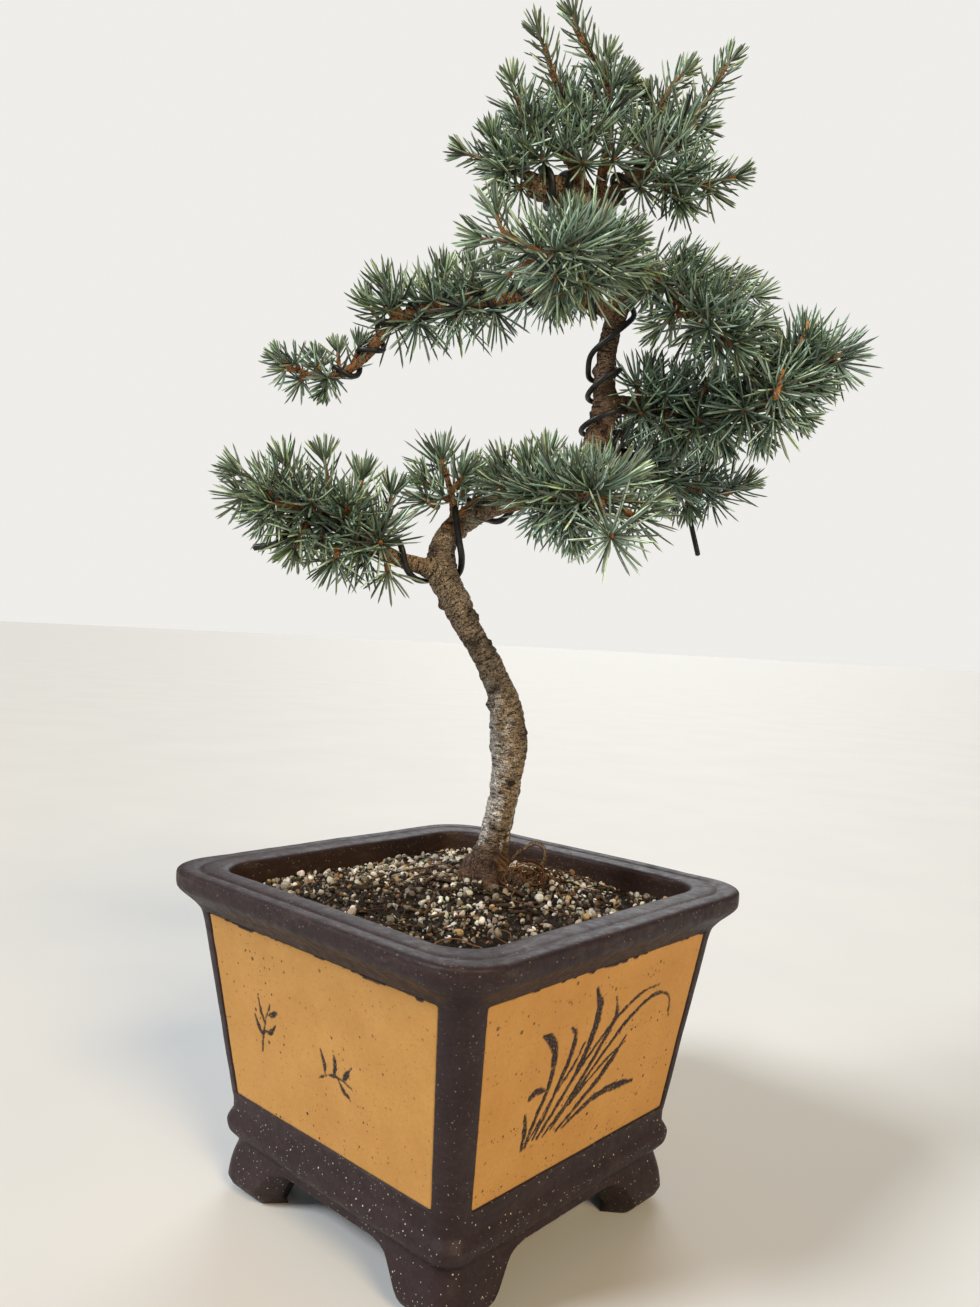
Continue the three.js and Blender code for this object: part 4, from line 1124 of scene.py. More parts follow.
def wood_tint(bark, co, normal, scar):
    """The bark's colour: dark at the foot, brown above and orange on thin limbs, with painted light making
    the left side pale below and the bend bright, and painted shade on the right.
    """
    wrap, radius, z = bark.wrap, bark.radius, bark.height
    is_trunk = bark.on(["trunk"])
    tint = blend(BARK_GREY, BARK_BROWN, step_up(296, 330, z))
    # Painted light: between heights 140 and 224 the side facing left, toward the window light, is painted
    # pale with BARK_PALE.
    facing_left = 0.5 - 0.5 * normal[:, 0]
    mottle = 0.55 * noise(co * [1, 1, 0.6], 9, 68) + 0.35 * noise(co, 2.2, 69)
    pale = step_up(0.30, 0.62, facing_left + mottle - 0.12)
    pale *= step_up(140, 158, z) * step_up(224, 198, z)
    streak = step_up(0.25, 0.5, noise(wrap * [1, 1, 0.10], 1.5, 72))
    streak *= step_up(138, 146, z) * step_up(182, 168, z)
    # Painted shade: the side facing right is darkened, with random patches, and less so above height 200.
    shade = step_up(0.1, 0.6, noise(co, 11, 73) + 0.5 * noise(co, 4, 74) + 0.35 * normal[:, 0])
    shade *= 1 - 0.65 * step_up(200, 228, z)
    tint = blend(tint, BARK_PALE, 0.60 * pale) * (1.08 - 0.42 * shade)[:, None]
    tint = blend(tint, BARK_LOW, step_up(160, 136, z))
    tint = blend(tint, BARK_PALE, 0.6 * streak)
    burr = is_trunk * np.exp(-(((z - BURR_HEIGHT) / 5.5) ** 2)) * step_up(-0.5, 0.3, noise(co, 5, 76))
    tint = blend(tint, SCAR_BROWN, 0.8 * np.clip(scar + burr, 0, 1))
    tint = blend(tint, BARK_ORANGE, 0.75 * (bark.on(LIMBS) * step_up(4.4, 2.2, radius)))
    stub = bark.on(["stub"]) * (0.75 + 0.5 * noise(wrap * [1, 1, 0.10], 1.2, 75))
    tint = blend(tint, STUB_WOOD, np.clip(stub, 0, 1))
    tint = blend(tint, ROOT_BROWN, 0.7 * bark.on(ROOTS) * step_up(5, 2.6, radius))
    tint = tint * (1 + 0.28 * noise(co, 6, 70) + 0.20 * noise(co, 1.5, 71))[:, None]
    # Painted light: the trunk between heights 262 and 306 is brightened where it lies in the needles'
    # shadow.
    painted_light_bend = is_trunk * step_up(262, 276, z) * step_up(306, 296, z)
    return tint * (1 + 0.45 * painted_light_bend)[:, None]


def make_wood():
    lines = {"trunk": TRUNK, **LIMBS, **ROOTS}
    co, normal, quads = joined_wood(lines)
    bark = Bark(lines, co)
    rise, scar = wood_rise(bark, co)
    co = co + normal * rise[:, None]
    colours = np.clip(wood_tint(bark, co, normal, scar), 0.01, 1)
    values = {"wrap": bark.wrap}
    piece = new_piece("trunk_and_limbs", tree_to_pot(co), [quads], colours=colours, values=values)
    return settle(piece, BARK, "bark", "tree_wood")


# ---- Wires ----

# A coil runs along a limb: (limb, from, to, turns, first turn, wire radius, points its end goes through).
COILS = {
    "wire_upper_left": (LIMBS["upper_left"], 0.06, 0.86, 8.5, 1, 1.2, []),
    "wire_back_low": (LIMBS["back_low"], 0.16, 0.72, 5, 0, 1.2, [(99, 47, 296), (104, 46, 277)]),
    "wire_right_low": (LIMBS["right_low"], 0.14, 0.56, 6, 0, 1.2, [(107, -7, 345)]),
    "wire_stub": (LIMBS["stub"], 0.42, 0.86, 1.7, 0.4, 1.5, []),
    "wire_apex_right": (LIMBS["apex_right"], 0.1, 0.42, 2.5, 0, 1.2, []),
}
LOWER_LEFT_COIL = (LIMBS["lower_left"], 0.34, 0.86, 5, 1.4, 1.3)
LOWER_LEFT_END = [(-78, -26, 266), (-88, -24, 263.5)]
LOWER_LEFT_START = [
    (-14, -1.4, 258), (-19, -3.5, 256), (-22.5, -9, 255), (-25.5, -14, 255.6), (-28.4, -17.2, 258.5),
    (-29.8, -18.2, 262.6), (-31, -17.9, 267), (-33, -14.5, 270.2),
]
TRUNK_LOW_RADIUS, TRUNK_HIGH_RADIUS = 1.35, 1.2
TRUNK_LOW_LINE = [
    (-16, -1.6, 254), (-10.5, -3, 256.5), (-7.4, -7.5, 259.5), (-6.9, -13, 265), (-8.2, -15.6, 271),
    (-9.4, -15.6, 277), (-10.4, -14.6, 282.5), (-10.4, -11.5, 287.2), (-7, -5, 290), (-1.5, 0.6, 287.8),
    (3.5, 3.2, 283), (8, -0.8, 282), (12.5, -6.5, 285.6), (15.5, -6.8, 292),
]
# Turns of the upper trunk's wire: (height, degrees round from the front, slack).
TRUNK_COIL = [
    (378, 150, 0.6), (371, 88, 1.6), (361, 0, 0.3), (353, -82, 1.4), (346.5, -112, 1.2),
    (346, -185, 0.5), (349.5, -265, 0.6), (345.5, -350, 0.4), (338, -450, 1.0), (336.5, -540, 0.6),
    (334, -625, 0.6), (329, -720, 0.4), (323.5, -808, 1.0), (322.5, -900, 0.5), (324, -985, 1.6),
    (317, -1010, 1.6), (313, -1090, 0.5),
]
DEGREES_TO_A_MILLIMETRE = 8
UPPER_TRUNK = 200  # from this place on its line the trunk only climbs


def coil(on, start, stop, turns, phase, radius):
    limb = smooth_line(on, 0.8)
    _, normal, side = frames_along(limb[:, :3])
    count = math.ceil(turns * 26)
    place = np.linspace(start, stop, count) * (len(limb) - 1)
    centre = np.stack([np.interp(place, np.arange(len(limb)), limb[:, k]) for k in range(4)], 1)
    near = np.round(place).astype(int)
    angle = phase + np.linspace(0, turns * 2 * np.pi, count)
    slack = 0.5 + 0.5 * np.abs(np.sin(angle * 0.37 + phase))
    away = (centre[:, 3] + radius + slack * 0.45)[:, None]
    out = normal[near] * np.cos(angle)[:, None] + side[near] * np.sin(angle)[:, None]
    return centre[:, :3] + away * out


def trunk_coil():
    """The wire round the upper trunk, through its turns in TRUNK_COIL."""
    scale = DEGREES_TO_A_MILLIMETRE
    turns = smooth_line([(z, turn / scale, slack, 0) for z, turn, slack in TRUNK_COIL], 1.0)
    trunk = smooth_line(TRUNK, 0.8)[UPPER_TRUNK:]
    z, angle, slack = turns[:, 0], np.radians(turns[:, 1] * scale), np.maximum(turns[:, 2], 0.1)
    centre = np.stack([np.interp(z, trunk[:, 2], trunk[:, k]) for k in range(4)], 1)
    away = centre[:, 3] + TRUNK_HIGH_RADIUS + slack
    return centre[:, :3] + away[:, None] * np.stack([np.sin(angle), -np.cos(angle), np.zeros(len(z))], 1)


def add_wire(name, path, radius):
    points, faces = tube(path, radius, 10)
    settle(new_piece(name + "_coil", tree_to_pot(points), faces), WIRE, "wire", name)


def make_wires():
    for name, (*turns, radius, end) in COILS.items():
        path = coil(*turns, radius)
        if end:
            path = np.vstack([path[:-30], line_through(np.vstack([path[-30::6], end]), 1.0)])
        add_wire(name, path, radius)
    path = coil(*LOWER_LEFT_COIL)
    points = np.vstack([LOWER_LEFT_START, path[8:-30:6], path[-30::6], LOWER_LEFT_END])
    add_wire("wire_lower_left", line_through(points, 0.8), LOWER_LEFT_COIL[-1])
    add_wire("wire_trunk_low", line_through(TRUNK_LOW_LINE, 0.8), TRUNK_LOW_RADIUS)
    add_wire("wire_trunk_high", trunk_coil(), TRUNK_HIGH_RADIUS)


# ---- Foliage ----
# spurs: stretches of a limb that carry short spurs, as (limb, from, to, spacing).
# shoots: leafy shoots, each a line of points. stars: single spurs, as (place, facing, needles, length).
# buds: bare orange shoot ends, each a line of points.

FOLIAGE = {
    "needles_lower_left": {
        "spurs": [("lower_left", 0.36, 1.0, 4.2)],
        "shoots": [
            [(-84, -23, 285), (-90, -21, 290), (-96, -20, 293)],
            [(-72, -21, 280), (-75, -22, 289), (-78, -22, 297)],
            [(-60, -19, 277), (-61, -19, 290), (-63, -20, 300)], [(-50, -18, 271), (-48, -20, 293)],
            [(-40, -16, 268), (-36, -18, 288)], [(-66, -20, 277), (-72, -26, 264)],
            [(-60, -19, 276), (-64, -4, 284)],
            [(-75, -22, 281), (-82, -8, 287)], [(-45, -17, 269), (-44, -2, 276)],
            [(-70, -21, 280), (-82, -32, 280)],
            [(-55, -19, 274), (-52, -31, 282)],
        ],
        "stars": [
            ((-39, -24, 268), (0, -1, 0.05), 34, 17), ((-56, -28, 260), (-0.1, -0.5, -0.8), 30, 15),
            ((-36, -18, 257), (0.1, -0.3, -0.9), 18, 15), ((-94, -22, 283), (-1, -0.2, -0.1), 28, 14),
            ((-70, -26, 269), (-0.2, -0.5, -0.9), 34, 17), ((-62, -22, 268), (0.1, -0.5, -0.9), 34, 17),
            ((-80, -26, 276), (-0.5, -0.6, -0.6), 34, 16), ((-47, -22, 264), (0.2, -0.5, -0.8), 26, 17),
            ((-66, -28, 282), (0, -0.8, 0.5), 30, 16), ((-84, -26, 286), (-0.5, -0.6, 0.5), 28, 15),
            ((-52, -24, 279), (0.1, -0.8, 0.6), 28, 16), ((-86, -18, 278), (-0.9, 0.2, -0.4), 28, 15),
        ],
    },
    "needles_low_spur": {
        "spurs": [("low_spur", 0.45, 1.0, 6.5)],
        "shoots": [
            [(-16, -19, 298), (-17, -20, 303)], [(-12, -13, 286), (-3, -14, 298)],
            [(-12, -14, 287), (-23, -18, 294)],
            [(-11, -11, 281), (2, -14, 293)], [(-13, -16, 290), (-8, -26, 296)],
        ],
        "stars": [((-22, -20, 286), (-0.7, -0.4, 0.3), 24, 14)],
    },
    "needles_front_low": {
        "spurs": [("front_low", 0.42, 1.0, 4.2)],
        "shoots": [
            [(20, -35, 287), (16, -38, 299)], [(14, -26, 287), (5, -34, 292)],
            [(22, -36, 287), (24, -32, 304)],
            [(38, -55, 286), (62, -48, 286)], [(33, -48, 287), (54, -42, 297)],
            [(30, -46, 286), (34, -50, 272)],
            [(14, -24, 288), (7, -30, 299)], [(26, -42, 287), (38, -36, 300)],
        ],
        "stars": [
            ((45, -66, 271), (0.02, -1, -0.05), 50, 18), ((38, -60, 288), (0, -0.75, 0.6), 40, 18),
            ((22, -44, 288), (-0.4, -0.8, 0.4), 38, 18), ((17, -35, 291), (-0.6, -0.4, 0.6), 32, 17),
            ((55, -54, 280), (0.6, -0.5, -0.4), 34, 17), ((30, -52, 278), (-0.2, -0.6, -0.8), 34, 16),
            ((24, -40, 282), (-0.5, -0.5, -0.6), 30, 16), ((46, -52, 292), (0.2, -0.5, 0.8), 34, 18),
        ],
    },
    "needles_back_low": {
        "spurs": [("back_low", 0.22, 1.0, 5.2)],
        "shoots": [
            [(116, 48, 306), (125, 47, 311)], [(99, 44, 308), (104, 42, 319)],
            [(80, 34, 312), (84, 30, 325)],
            [(61, 20, 314), (62, 24, 327)], [(95, 42, 308), (97, 40, 299)], [(88, 38, 310), (80, 50, 316)],
            [(70, 28, 313), (60, 36, 320)], [(105, 45, 307), (112, 56, 311)],
        ],
        "stars": [((82, 28, 306), (0.1, -0.8, -0.3), 30, 17), ((66, 18, 308), (0.2, -0.7, -0.5), 28, 17)],
    },
    "needles_upper_left": {
        "spurs": [("upper_left", 0.34, 0.58, 6.0)],
        "shoots": [
            [(-39, 4, 364), (-45, 2, 378)], [(-22, 1, 369), (-20, 0, 383)], [(-10, 0, 371), (-8, -2, 384)],
            [(0, -2, 373), (3, -4, 386)], [(-28, 2, 368), (-26, 14, 374)], [(-8, 0, 371), (-8, 12, 376)],
            [(-43, 5, 360), (-51, 4, 369)],
        ],
        "stars": [
            ((-39, 2, 369), (-0.5, -0.2, 0.8), 36, 18), ((-20, 2, 372), (-0.1, -0.2, 1), 36, 18),
            ((-9, 2, 374), (0.1, -0.3, 0.9), 34, 18), ((-29, 2, 370), (-0.3, 0.3, 0.9), 36, 18),
            ((-30, 1, 364), (0, -0.3, -1), 12, 21), ((-14, 0, 366), (0.1, -0.3, -1), 12, 21),
            ((-40, 3, 362), (-0.2, -0.3, -1), 10, 19), ((-4, -2, 368), (0.2, -0.4, -0.9), 14, 19),
            ((-42, 0, 367), (-0.7, -0.6, 0.3), 26, 15),
        ],
    },
    "needles_left_tip": {
        "spurs": [("upper_left", 0.86, 1.0, 6.5)],
        "shoots": [
            [(-82, 11, 343), (-88, 10, 347)], [(-70, 9, 339), (-72, 10, 347)],
            [(-62, 8, 341), (-63, 6, 350)],
            [(-57, 8, 344), (-54, 6, 353)], [(-66, 9, 340), (-68, 8, 334)],
            [(-76, 10, 341), (-79, 18, 343)],
        ],
        "stars": [((-85, 9, 342), (-0.9, -0.3, -0.2), 20, 11)],
    },
    "needles_front_high": {
        "spurs": [("front_high", 0.28, 1.0, 4.4)],
        "shoots": [
            [(18, -56, 372), (2, -54, 380), (-1, -51, 388)], [(6, -50, 378), (-6, -44, 381)],
            [(26, -48, 374), (24, -46, 360)], [(36, -35, 381), (50, -40, 386)],
            [(14, -50, 373), (4, -46, 367)],
            [(28, -46, 377), (27, -48, 388)], [(42, -28, 382), (54, -34, 378)],
        ],
        "stars": [
            ((28, -54, 376), (0.05, -1, 0.05), 48, 19), ((36, -46, 384), (0.3, -0.7, 0.6), 38, 18),
            ((42, -40, 374), (0.7, -0.6, -0.2), 36, 18), ((22, -52, 366), (-0.2, -0.6, -0.8), 36, 18),
            ((14, -52, 376), (-0.7, -0.6, 0.3), 34, 17), ((34, -46, 366), (0.3, -0.5, -0.8), 34, 18),
        ],
    },
    "needles_back_high": {
        "spurs": [("back_high", 0.25, 1.0, 5.0)],
        "shoots": [
            [(18, 52, 392), (11, 59, 396)], [(28, 42, 393), (24, 44, 406)], [(38, 28, 396), (40, 30, 408)],
            [(38, 28, 396), (51, 38, 398)], [(28, 42, 393), (38, 53, 394)], [(32, 36, 394), (19, 34, 389)],
        ],
        "stars": [],
    },
    "needles_right_high": {
        "spurs": [("right_high", 0.3, 1.0, 4.8)],
        "shoots": [
            [(64, -9, 386), (82, -8, 387), (93, -4, 387)], [(70, -12, 382), (90, -4, 385), (103, 0, 388)],
            [(77, -14, 372), (98, -12, 375), (108, -10, 379)],
            [(58, -14, 387), (69, -20, 377), (84, -24, 365), (97, -26, 352)],
            [(87, -23, 361), (105, -24, 363)], [(77, -20, 367), (68, -16, 362)],
            [(70, -15, 379), (60, -22, 374)],
            [(62, -8, 386), (74, -20, 388)], [(108, -16, 352), (115, -20, 345)],
        ],
        "stars": [
            ((84, -26, 366), (0.1, -0.8, 0.4), 34, 17), ((96, -27, 354), (0.6, -0.7, -0.2), 30, 16),
            ((78, -20, 380), (0, -0.7, 0.7), 32, 16), ((92, -18, 372), (0.5, -0.6, 0.6), 32, 16),
        ],
    },
    "needles_right_low": {
        "spurs": [("right_low", 0.16, 0.5, 4.0)],
        "shoots": [
            [(67, 12, 336), (70, 10, 350)], [(85, 15, 335), (84, 10, 347)], [(101, 11, 333), (100, 6, 345)],
            [(92, 13, 334), (90, 24, 341)], [(85, 15, 335), (86, 14, 324)],
            [(101, 11, 333), (102, 10, 323)],
        ],
        "stars": [
            ((76, 4, 340), (-0.2, -0.8, 0.3), 34, 17), ((90, 2, 330), (0.1, -0.8, -0.4), 34, 17),
            ((64, 5, 343), (-0.3, -0.7, 0.5), 30, 15), ((66, 5, 332), (-0.1, -0.8, -0.5), 30, 15),
            ((88, 4, 325), (0.1, -0.5, -1), 30, 17), ((99, 2, 326), (0.2, -0.5, -1), 30, 17),
            ((77, 5, 328), (-0.2, -0.5, -1), 28, 17), ((92, 0, 344), (0.1, -0.8, 0.6), 32, 17),
        ],
    },
    "needles_right_end": {
        "spurs": [("right_low", 0.5, 1.0, 4.4), ("right_tip", 0.2, 1.0, 4.6)],
        "shoots": [
            [(123, -14, 350), (128, -14, 361)], [(138, -15, 353), (144, -16, 356)],
            [(111, 0, 334), (116, -2, 323)],
            [(117, -12, 338), (129, -10, 331)], [(111, 0, 334), (112, 10, 343)],
            [(135, -14, 352), (140, -6, 357)],
            [(124, -12, 345), (133, -18, 342)],
        ],
        "stars": [
            ((116, -20, 339), (0.3, -0.95, -0.1), 44, 19), ((124, -14, 340), (1, -0.3, -0.2), 36, 18),
            ((108, -14, 346), (-0.2, -0.8, 0.5), 36, 18), ((106, -10, 332), (-0.5, -0.7, -0.5), 34, 18),
            ((118, -14, 328), (0.2, -0.5, -0.9), 34, 18),
        ],
        "buds": [
            [(124, -17, 353), (126, -18, 360), (128, -18, 367)],
            [(114, -24, 334), (115, -26, 339), (116, -26, 345)],
        ],
    },
    "needles_apex_left": {
        "spurs": [("apex_left", 0.3, 0.8, 5.5), ("apex_left_up", 0.35, 0.9, 5.5)],
        "shoots": [
            [(4, -9, 424), (-6, -9, 427), (-14, -9, 429)], [(9, -9, 444), (6, -9, 453), (4, -9, 459)],
            [(2, -8, 426), (-3, -14, 434)],
        ],
        "stars": [
            ((10, -14, 431), (-0.4, -0.8, 0.4), 32, 15), ((18, -14, 426), (-0.3, -0.9, 0.0), 32, 15),
            ((13, -10, 440), (-0.3, -0.6, 0.7), 30, 13), ((6, -12, 424), (-0.5, -0.7, -0.4), 30, 15),
            ((2, -12, 421), (-0.7, -0.5, -0.3), 28, 14), ((9, -13, 415), (-0.4, -0.7, -0.6), 28, 14),
        ],
    },
    "needles_apex_top": {
        "spurs": [("leader", 0.42, 0.7, 7.0), ("leader_right", 0.4, 0.7, 7.0)],
        "shoots": [
            [(27, -6, 452), (21, -8, 464), (17, -8, 473), (13, -8, 481)],
            [(45, -6, 446), (44, -7, 457), (40, -8, 468), (33, -9, 476), (27, -10, 487)],
            [(43, -8, 458), (49, -8, 464)], [(40, -8, 467), (42, -8, 472)], [(45, -6, 450), (52, -6, 459)],
            [(36, -8, 440), (33, 0, 450)],
        ],
        "stars": [
            ((27, -13, 432), (-0.1, -0.8, 0.6), 40, 16), ((37, -14, 437), (0.1, -0.85, 0.5), 40, 16),
            ((46, -14, 428), (0.2, -0.9, 0.1), 36, 16), ((32, -10, 446), (0, -0.6, 0.8), 30, 13),
            ((34, -14, 426), (0, -1, -0.1), 34, 15), ((36, 8, 436), (0, 0.8, 0.4), 30, 15),
        ],
    },
    "needles_apex_right": {
        "spurs": [("apex_right", 0.42, 0.7, 7.0), ("apex_right_up", 0.2, 0.5, 7.0)],
        "shoots": [
            [(64, -4, 442), (66, -4, 456), (70, -4, 465), (75, -4, 471)],
            [(77, -4, 448), (85, -4, 461), (90, -3, 470), (94, -3, 478)], [(66, -4, 452), (61, -5, 459)],
            [(79, -4, 450), (80, 4, 458)],
        ],
        "stars": [
            ((63, -14, 430), (0.1, -0.9, 0.3), 44, 17), ((73, -12, 437), (0.4, -0.8, 0.4), 36, 15),
            ((66, -10, 443), (0, -0.8, 0.6), 30, 13), ((55, -12, 438), (-0.2, -0.8, 0.6), 34, 14),
            ((64, 4, 440), (0, 0.8, 0.5), 30, 14),
        ],
    },
    "needles_apex_low": {
        "spurs": [("apex_right_low", 0.3, 0.6, 6.0)],
        "shoots": [[(68, -9, 425), (83, -11, 423), (97, -12, 426)], [(70, -8, 424), (74, -14, 413)]],
        "stars": [
            ((58, -14, 418), (0.3, -0.7, -0.6), 30, 15), ((68, -12, 420), (0.3, -0.7, -0.6), 28, 14),
            ((77, -13, 426), (0.2, -0.8, 0.5), 28, 14), ((75, -12, 414), (0.3, -0.6, -0.8), 26, 14),
            ((86, -12, 420), (0.4, -0.6, -0.6), 24, 13),
        ],
    },
}
NEEDLE_BLUE = np.array([0.270, 0.430, 0.325])
NEEDLE_GREEN = np.array([0.230, 0.330, 0.150])
NEEDLE_DEEP = np.array([0.070, 0.100, 0.062])
NEEDLE_PALE = np.array([0.60, 0.72, 0.635])
TWIG_ORANGE = np.array([0.42, 0.175, 0.06])
TWIG_BROWN = np.array([0.17, 0.08, 0.04])

# Along a needle: where its rings of points are, and how wide it is there. Its four sides' shades.
NEEDLE_AT = np.array([0.0, 0.45, 0.86])
NEEDLE_WIDE = np.array([0.75, 1.0, 0.85])
SIDE_SHADE = np.array([1.45, 0.34, 0.76, 0.46])
YOUNG_GREEN = np.array([0.27, 0.34, 0.13])
LONG_NEEDLE, APEX_NEEDLE, TIP_NEEDLE = 16.5, 13.0, 11.0
FULL_STAR = 42  # a star with more needles than this faces the viewer and is painted paler, as painted light


def needle_colour(rng, young, paleness):
    kind = rng.random()
    colour = NEEDLE_BLUE if kind < 0.5 else NEEDLE_GREEN if kind < 0.78 else NEEDLE_DEEP
    colour = colour + (NEEDLE_PALE - colour) * rng.random() ** 2 * 0.75
    colour = colour + (YOUNG_GREEN - colour) * young * 0.6
    # A paleness above 0 is painted light on needles that face the viewer: they are drawn paler and
    # brighter.
    colour = colour + (NEEDLE_PALE - colour) * paleness
    return colour * rng.uniform(0.38 + paleness, 1.55)


def needle_template():
    """One needle's quads and end triangles, and their corners' places on its map."""
    quads, quad_uv = [], []
    rise = [0.10, 0.38, 0.76, 1.0]
    for k in (0, 1):
        for j in range(4):
            after = (j + 1) % 4
            quads.append([4 * k + j, 4 * k + after, 4 * k + 4 + after, 4 * k + 4 + j])
            left, right = j / 4, (j + 1) / 4
            quad_uv += [(left, rise[k]), (right, rise[k]), (right, rise[k + 1]), (left, rise[k + 1])]
    quads.append([3, 2, 1, 0])
    quad_uv += [(0, 0), (0.3, 0), (0.3, 0.08), (0, 0.08)]
    tips = [[8 + j, 8 + (j + 1) % 4, 12] for j in range(4)]
    tip_uv = [c for j in range(4) for c in ((j / 4, 0.76), ((j + 1) / 4, 0.76), ((j + 0.5) / 4, 1.0))]
    return np.array(quads), np.array(tips), np.array(quad_uv), np.array(tip_uv)


class Needles:
    """The needles of one pad, gathered as base, direction, bend, length, width and colour."""

    def __init__(self, rng):
        self.rng, self.rows = rng, []

    def add(self, base, direction, length, young, axis, paleness=0.0):
        rng = self.rng
        direction = unit(direction)
        bend = unit(np.cross(direction, rng.normal(size=3))) * rng.uniform(0, 0.09)
        bend = bend + 0.17 * (axis - direction * (axis @ direction)) + 0.05 * UP
        colour = needle_colour(rng, young, paleness)
        wide = rng.uniform(0.43, 0.56)
        self.rows.append(np.concatenate([base, direction, bend, [length, wide], colour]))

    def rosette(self, base, axis, count, length, spread=(10, 84), young=0.0, paleness=0.0):
        axis = unit(axis)
        side = unit(np.cross(axis, UP if abs(axis[2]) < 0.9 else [1.0, 0, 0]))
        other = np.cross(axis, side)
        low, high = (math.cos(math.radians(a)) for a in spread)
        start = self.rng.uniform(0, 6.3)
        for k in range(count):
            c = low + (high - low) * (k + self.rng.random()) / count
            s = math.sqrt(max(0, 1 - c * c))
            turn = start + k * GOLDEN_TURN + self.rng.normal(0, 0.15)
            out = side * math.cos(turn) + other * math.sin(turn)
            reach = length * self.rng.uniform(0.8, 1.1)
            self.add(base + out * 0.5, axis * c + out * s, reach, young, axis, paleness)

    def shoot(self, line, length, young, pitch):
        path = line_through(line, 0.5)
        tangent, normal, side = frames_along(path)
        far = np.concatenate([[0], np.cumsum(np.linalg.norm(np.diff(path, axis=0), axis=1))])
        count = max(3, int(far[-1] / pitch))
        turn = self.rng.uniform(0, 6.3)
        for k in range(count):
            share = (k + 0.5) / count
            i = min(len(path) - 1, np.searchsorted(far, share * far[-1]))
            turn += GOLDEN_TURN
            lean = math.radians(self.rng.uniform(48, 74) - 16 * share)
            out = normal[i] * math.cos(turn) + side[i] * math.sin(turn)
            grown = length * (1 - 0.30 * share**3) * self.rng.uniform(0.78, 1.06)
            direction = tangent[i] * math.cos(lean) + out * math.sin(lean)
            self.add(path[i] + out * 0.7, direction, grown, young, tangent[i])
        self.rosette(path[-1], tangent[-1], 20, length * 0.72, (6, 52), min(1, young + 0.25))

    def piece(self, name):
        rows = np.array(self.rows)
        count = len(rows)
        base, along, bend = rows[:, 0:3], rows[:, 3:6], rows[:, 6:9]
        length, wide, colour = rows[:, 9:10], rows[:, 10:11], rows[:, 11:14]
        flat = unit(np.cross(along, self.rng.normal(size=(count, 3))))
        other = np.cross(along, flat)
        points = np.empty((count, 13, 3))
        for k, (t, w) in enumerate(zip(NEEDLE_AT, NEEDLE_WIDE)):
            spine = base + length * (along * t + bend * t * t)
            for j, (a, b) in enumerate(((1, 0), (0, 0.8), (-1, 0), (0, -0.8))):
                points[:, 4 * k + j] = spine + wide * w * (flat * a + other * b)
        points[:, 12] = base + length * (along + bend)
        quads, tips, quad_uv, tip_uv = needle_template()
        offsets = (np.arange(count) * 13)[:, None, None]
        blocks = [(quads[None] + offsets).reshape(-1, 4), (tips[None] + offsets).reshape(-1, 3)]
        shade = np.repeat(np.concatenate([np.tile(SIDE_SHADE, 2), [0.6]]), 4)
        fade = np.minimum(0.62 + 0.5 * quad_uv[:, 1], 1.04)
        quad_colour = colour[:, None] * (shade * fade)[None, :, None]
        tip_shade = np.repeat(SIDE_SHADE, 3)[None, :, None]
        tip_colour = (colour[:, None] * 0.9 + np.array([0.02, 0.018, 0.004])) * tip_shade
        corner = np.concatenate([quad_colour.reshape(-1, 3), tip_colour.reshape(-1, 3)])
        uv = np.concatenate([cells_uv(count, quad_uv), cells_uv(count, tip_uv)])
        points = tree_to_pot(points.reshape(-1, 3))
        piece = new_piece(name, points, blocks, corner_colours=corner, uv=uv, smooth=False)
        return settle(piece, NEEDLE, "needle", name.replace("foliage", "needles"))


def spur_shape(root, tip, thick):
    share = np.array([0, 0.35, 0.7, 1.0])[:, None]
    path = root * (1 - share) + tip * share
    return tube(path, np.array([1.0, 1.15, 0.95, 0.8]) * thick, 7)


def add_spurs(twigs, needles, limb, start, stop, spacing, length):
    """Short spurs round a stretch of a limb, each with its rosette of needles."""
    rng = needles.rng
    path = smooth_line(LIMBS[limb], 0.5)
    tangent, normal, side = frames_along(path[:, :3])
    count = max(2, int(len(path) * 0.5 * (stop - start) / spacing * 1.6))
    turn = rng.uniform(0, 6.3)
    for k in range(count):
        place = start + (stop - start) * (k + rng.random() * 0.6) / count
        i = min(len(path) - 1, int(place * (len(path) - 1)))
        turn += GOLDEN_TURN
        out = normal[i] * math.cos(turn) + side[i] * math.sin(turn)
        axis = unit(out + tangent[i] * 0.35 + UP * 0.35)
        root = path[i, :3] + axis * path[i, 3] * 0.7
        tip = root + axis * rng.uniform(2.0, 4.5)
        twigs.add(*spur_shape(root, tip, 1.35), TWIG_BROWN * rng.uniform(0.7, 1.3))
        needles.rosette(tip, axis, rng.integers(18, 27), length * rng.uniform(0.9, 1.05))


def add_shoot(twigs, needles, line, length, high):
    if high:
        needles.shoot(line, length * 0.90, 0.5, 0.62)
    else:
        needles.shoot(line, length * 0.92, 0.25, 0.9)
    path = line_through(line, 1.0)
    bumps = 1 + 0.16 * np.sin(np.arange(len(path)) * 2.4)
    radii = np.linspace(1.0 if high else 1.2, 0.7, len(path)) * bumps
    share = needles.rng.random() * 0.5
    twigs.add(*tube(path, radii, 7), TWIG_ORANGE * (1 - share) + TWIG_BROWN * share)


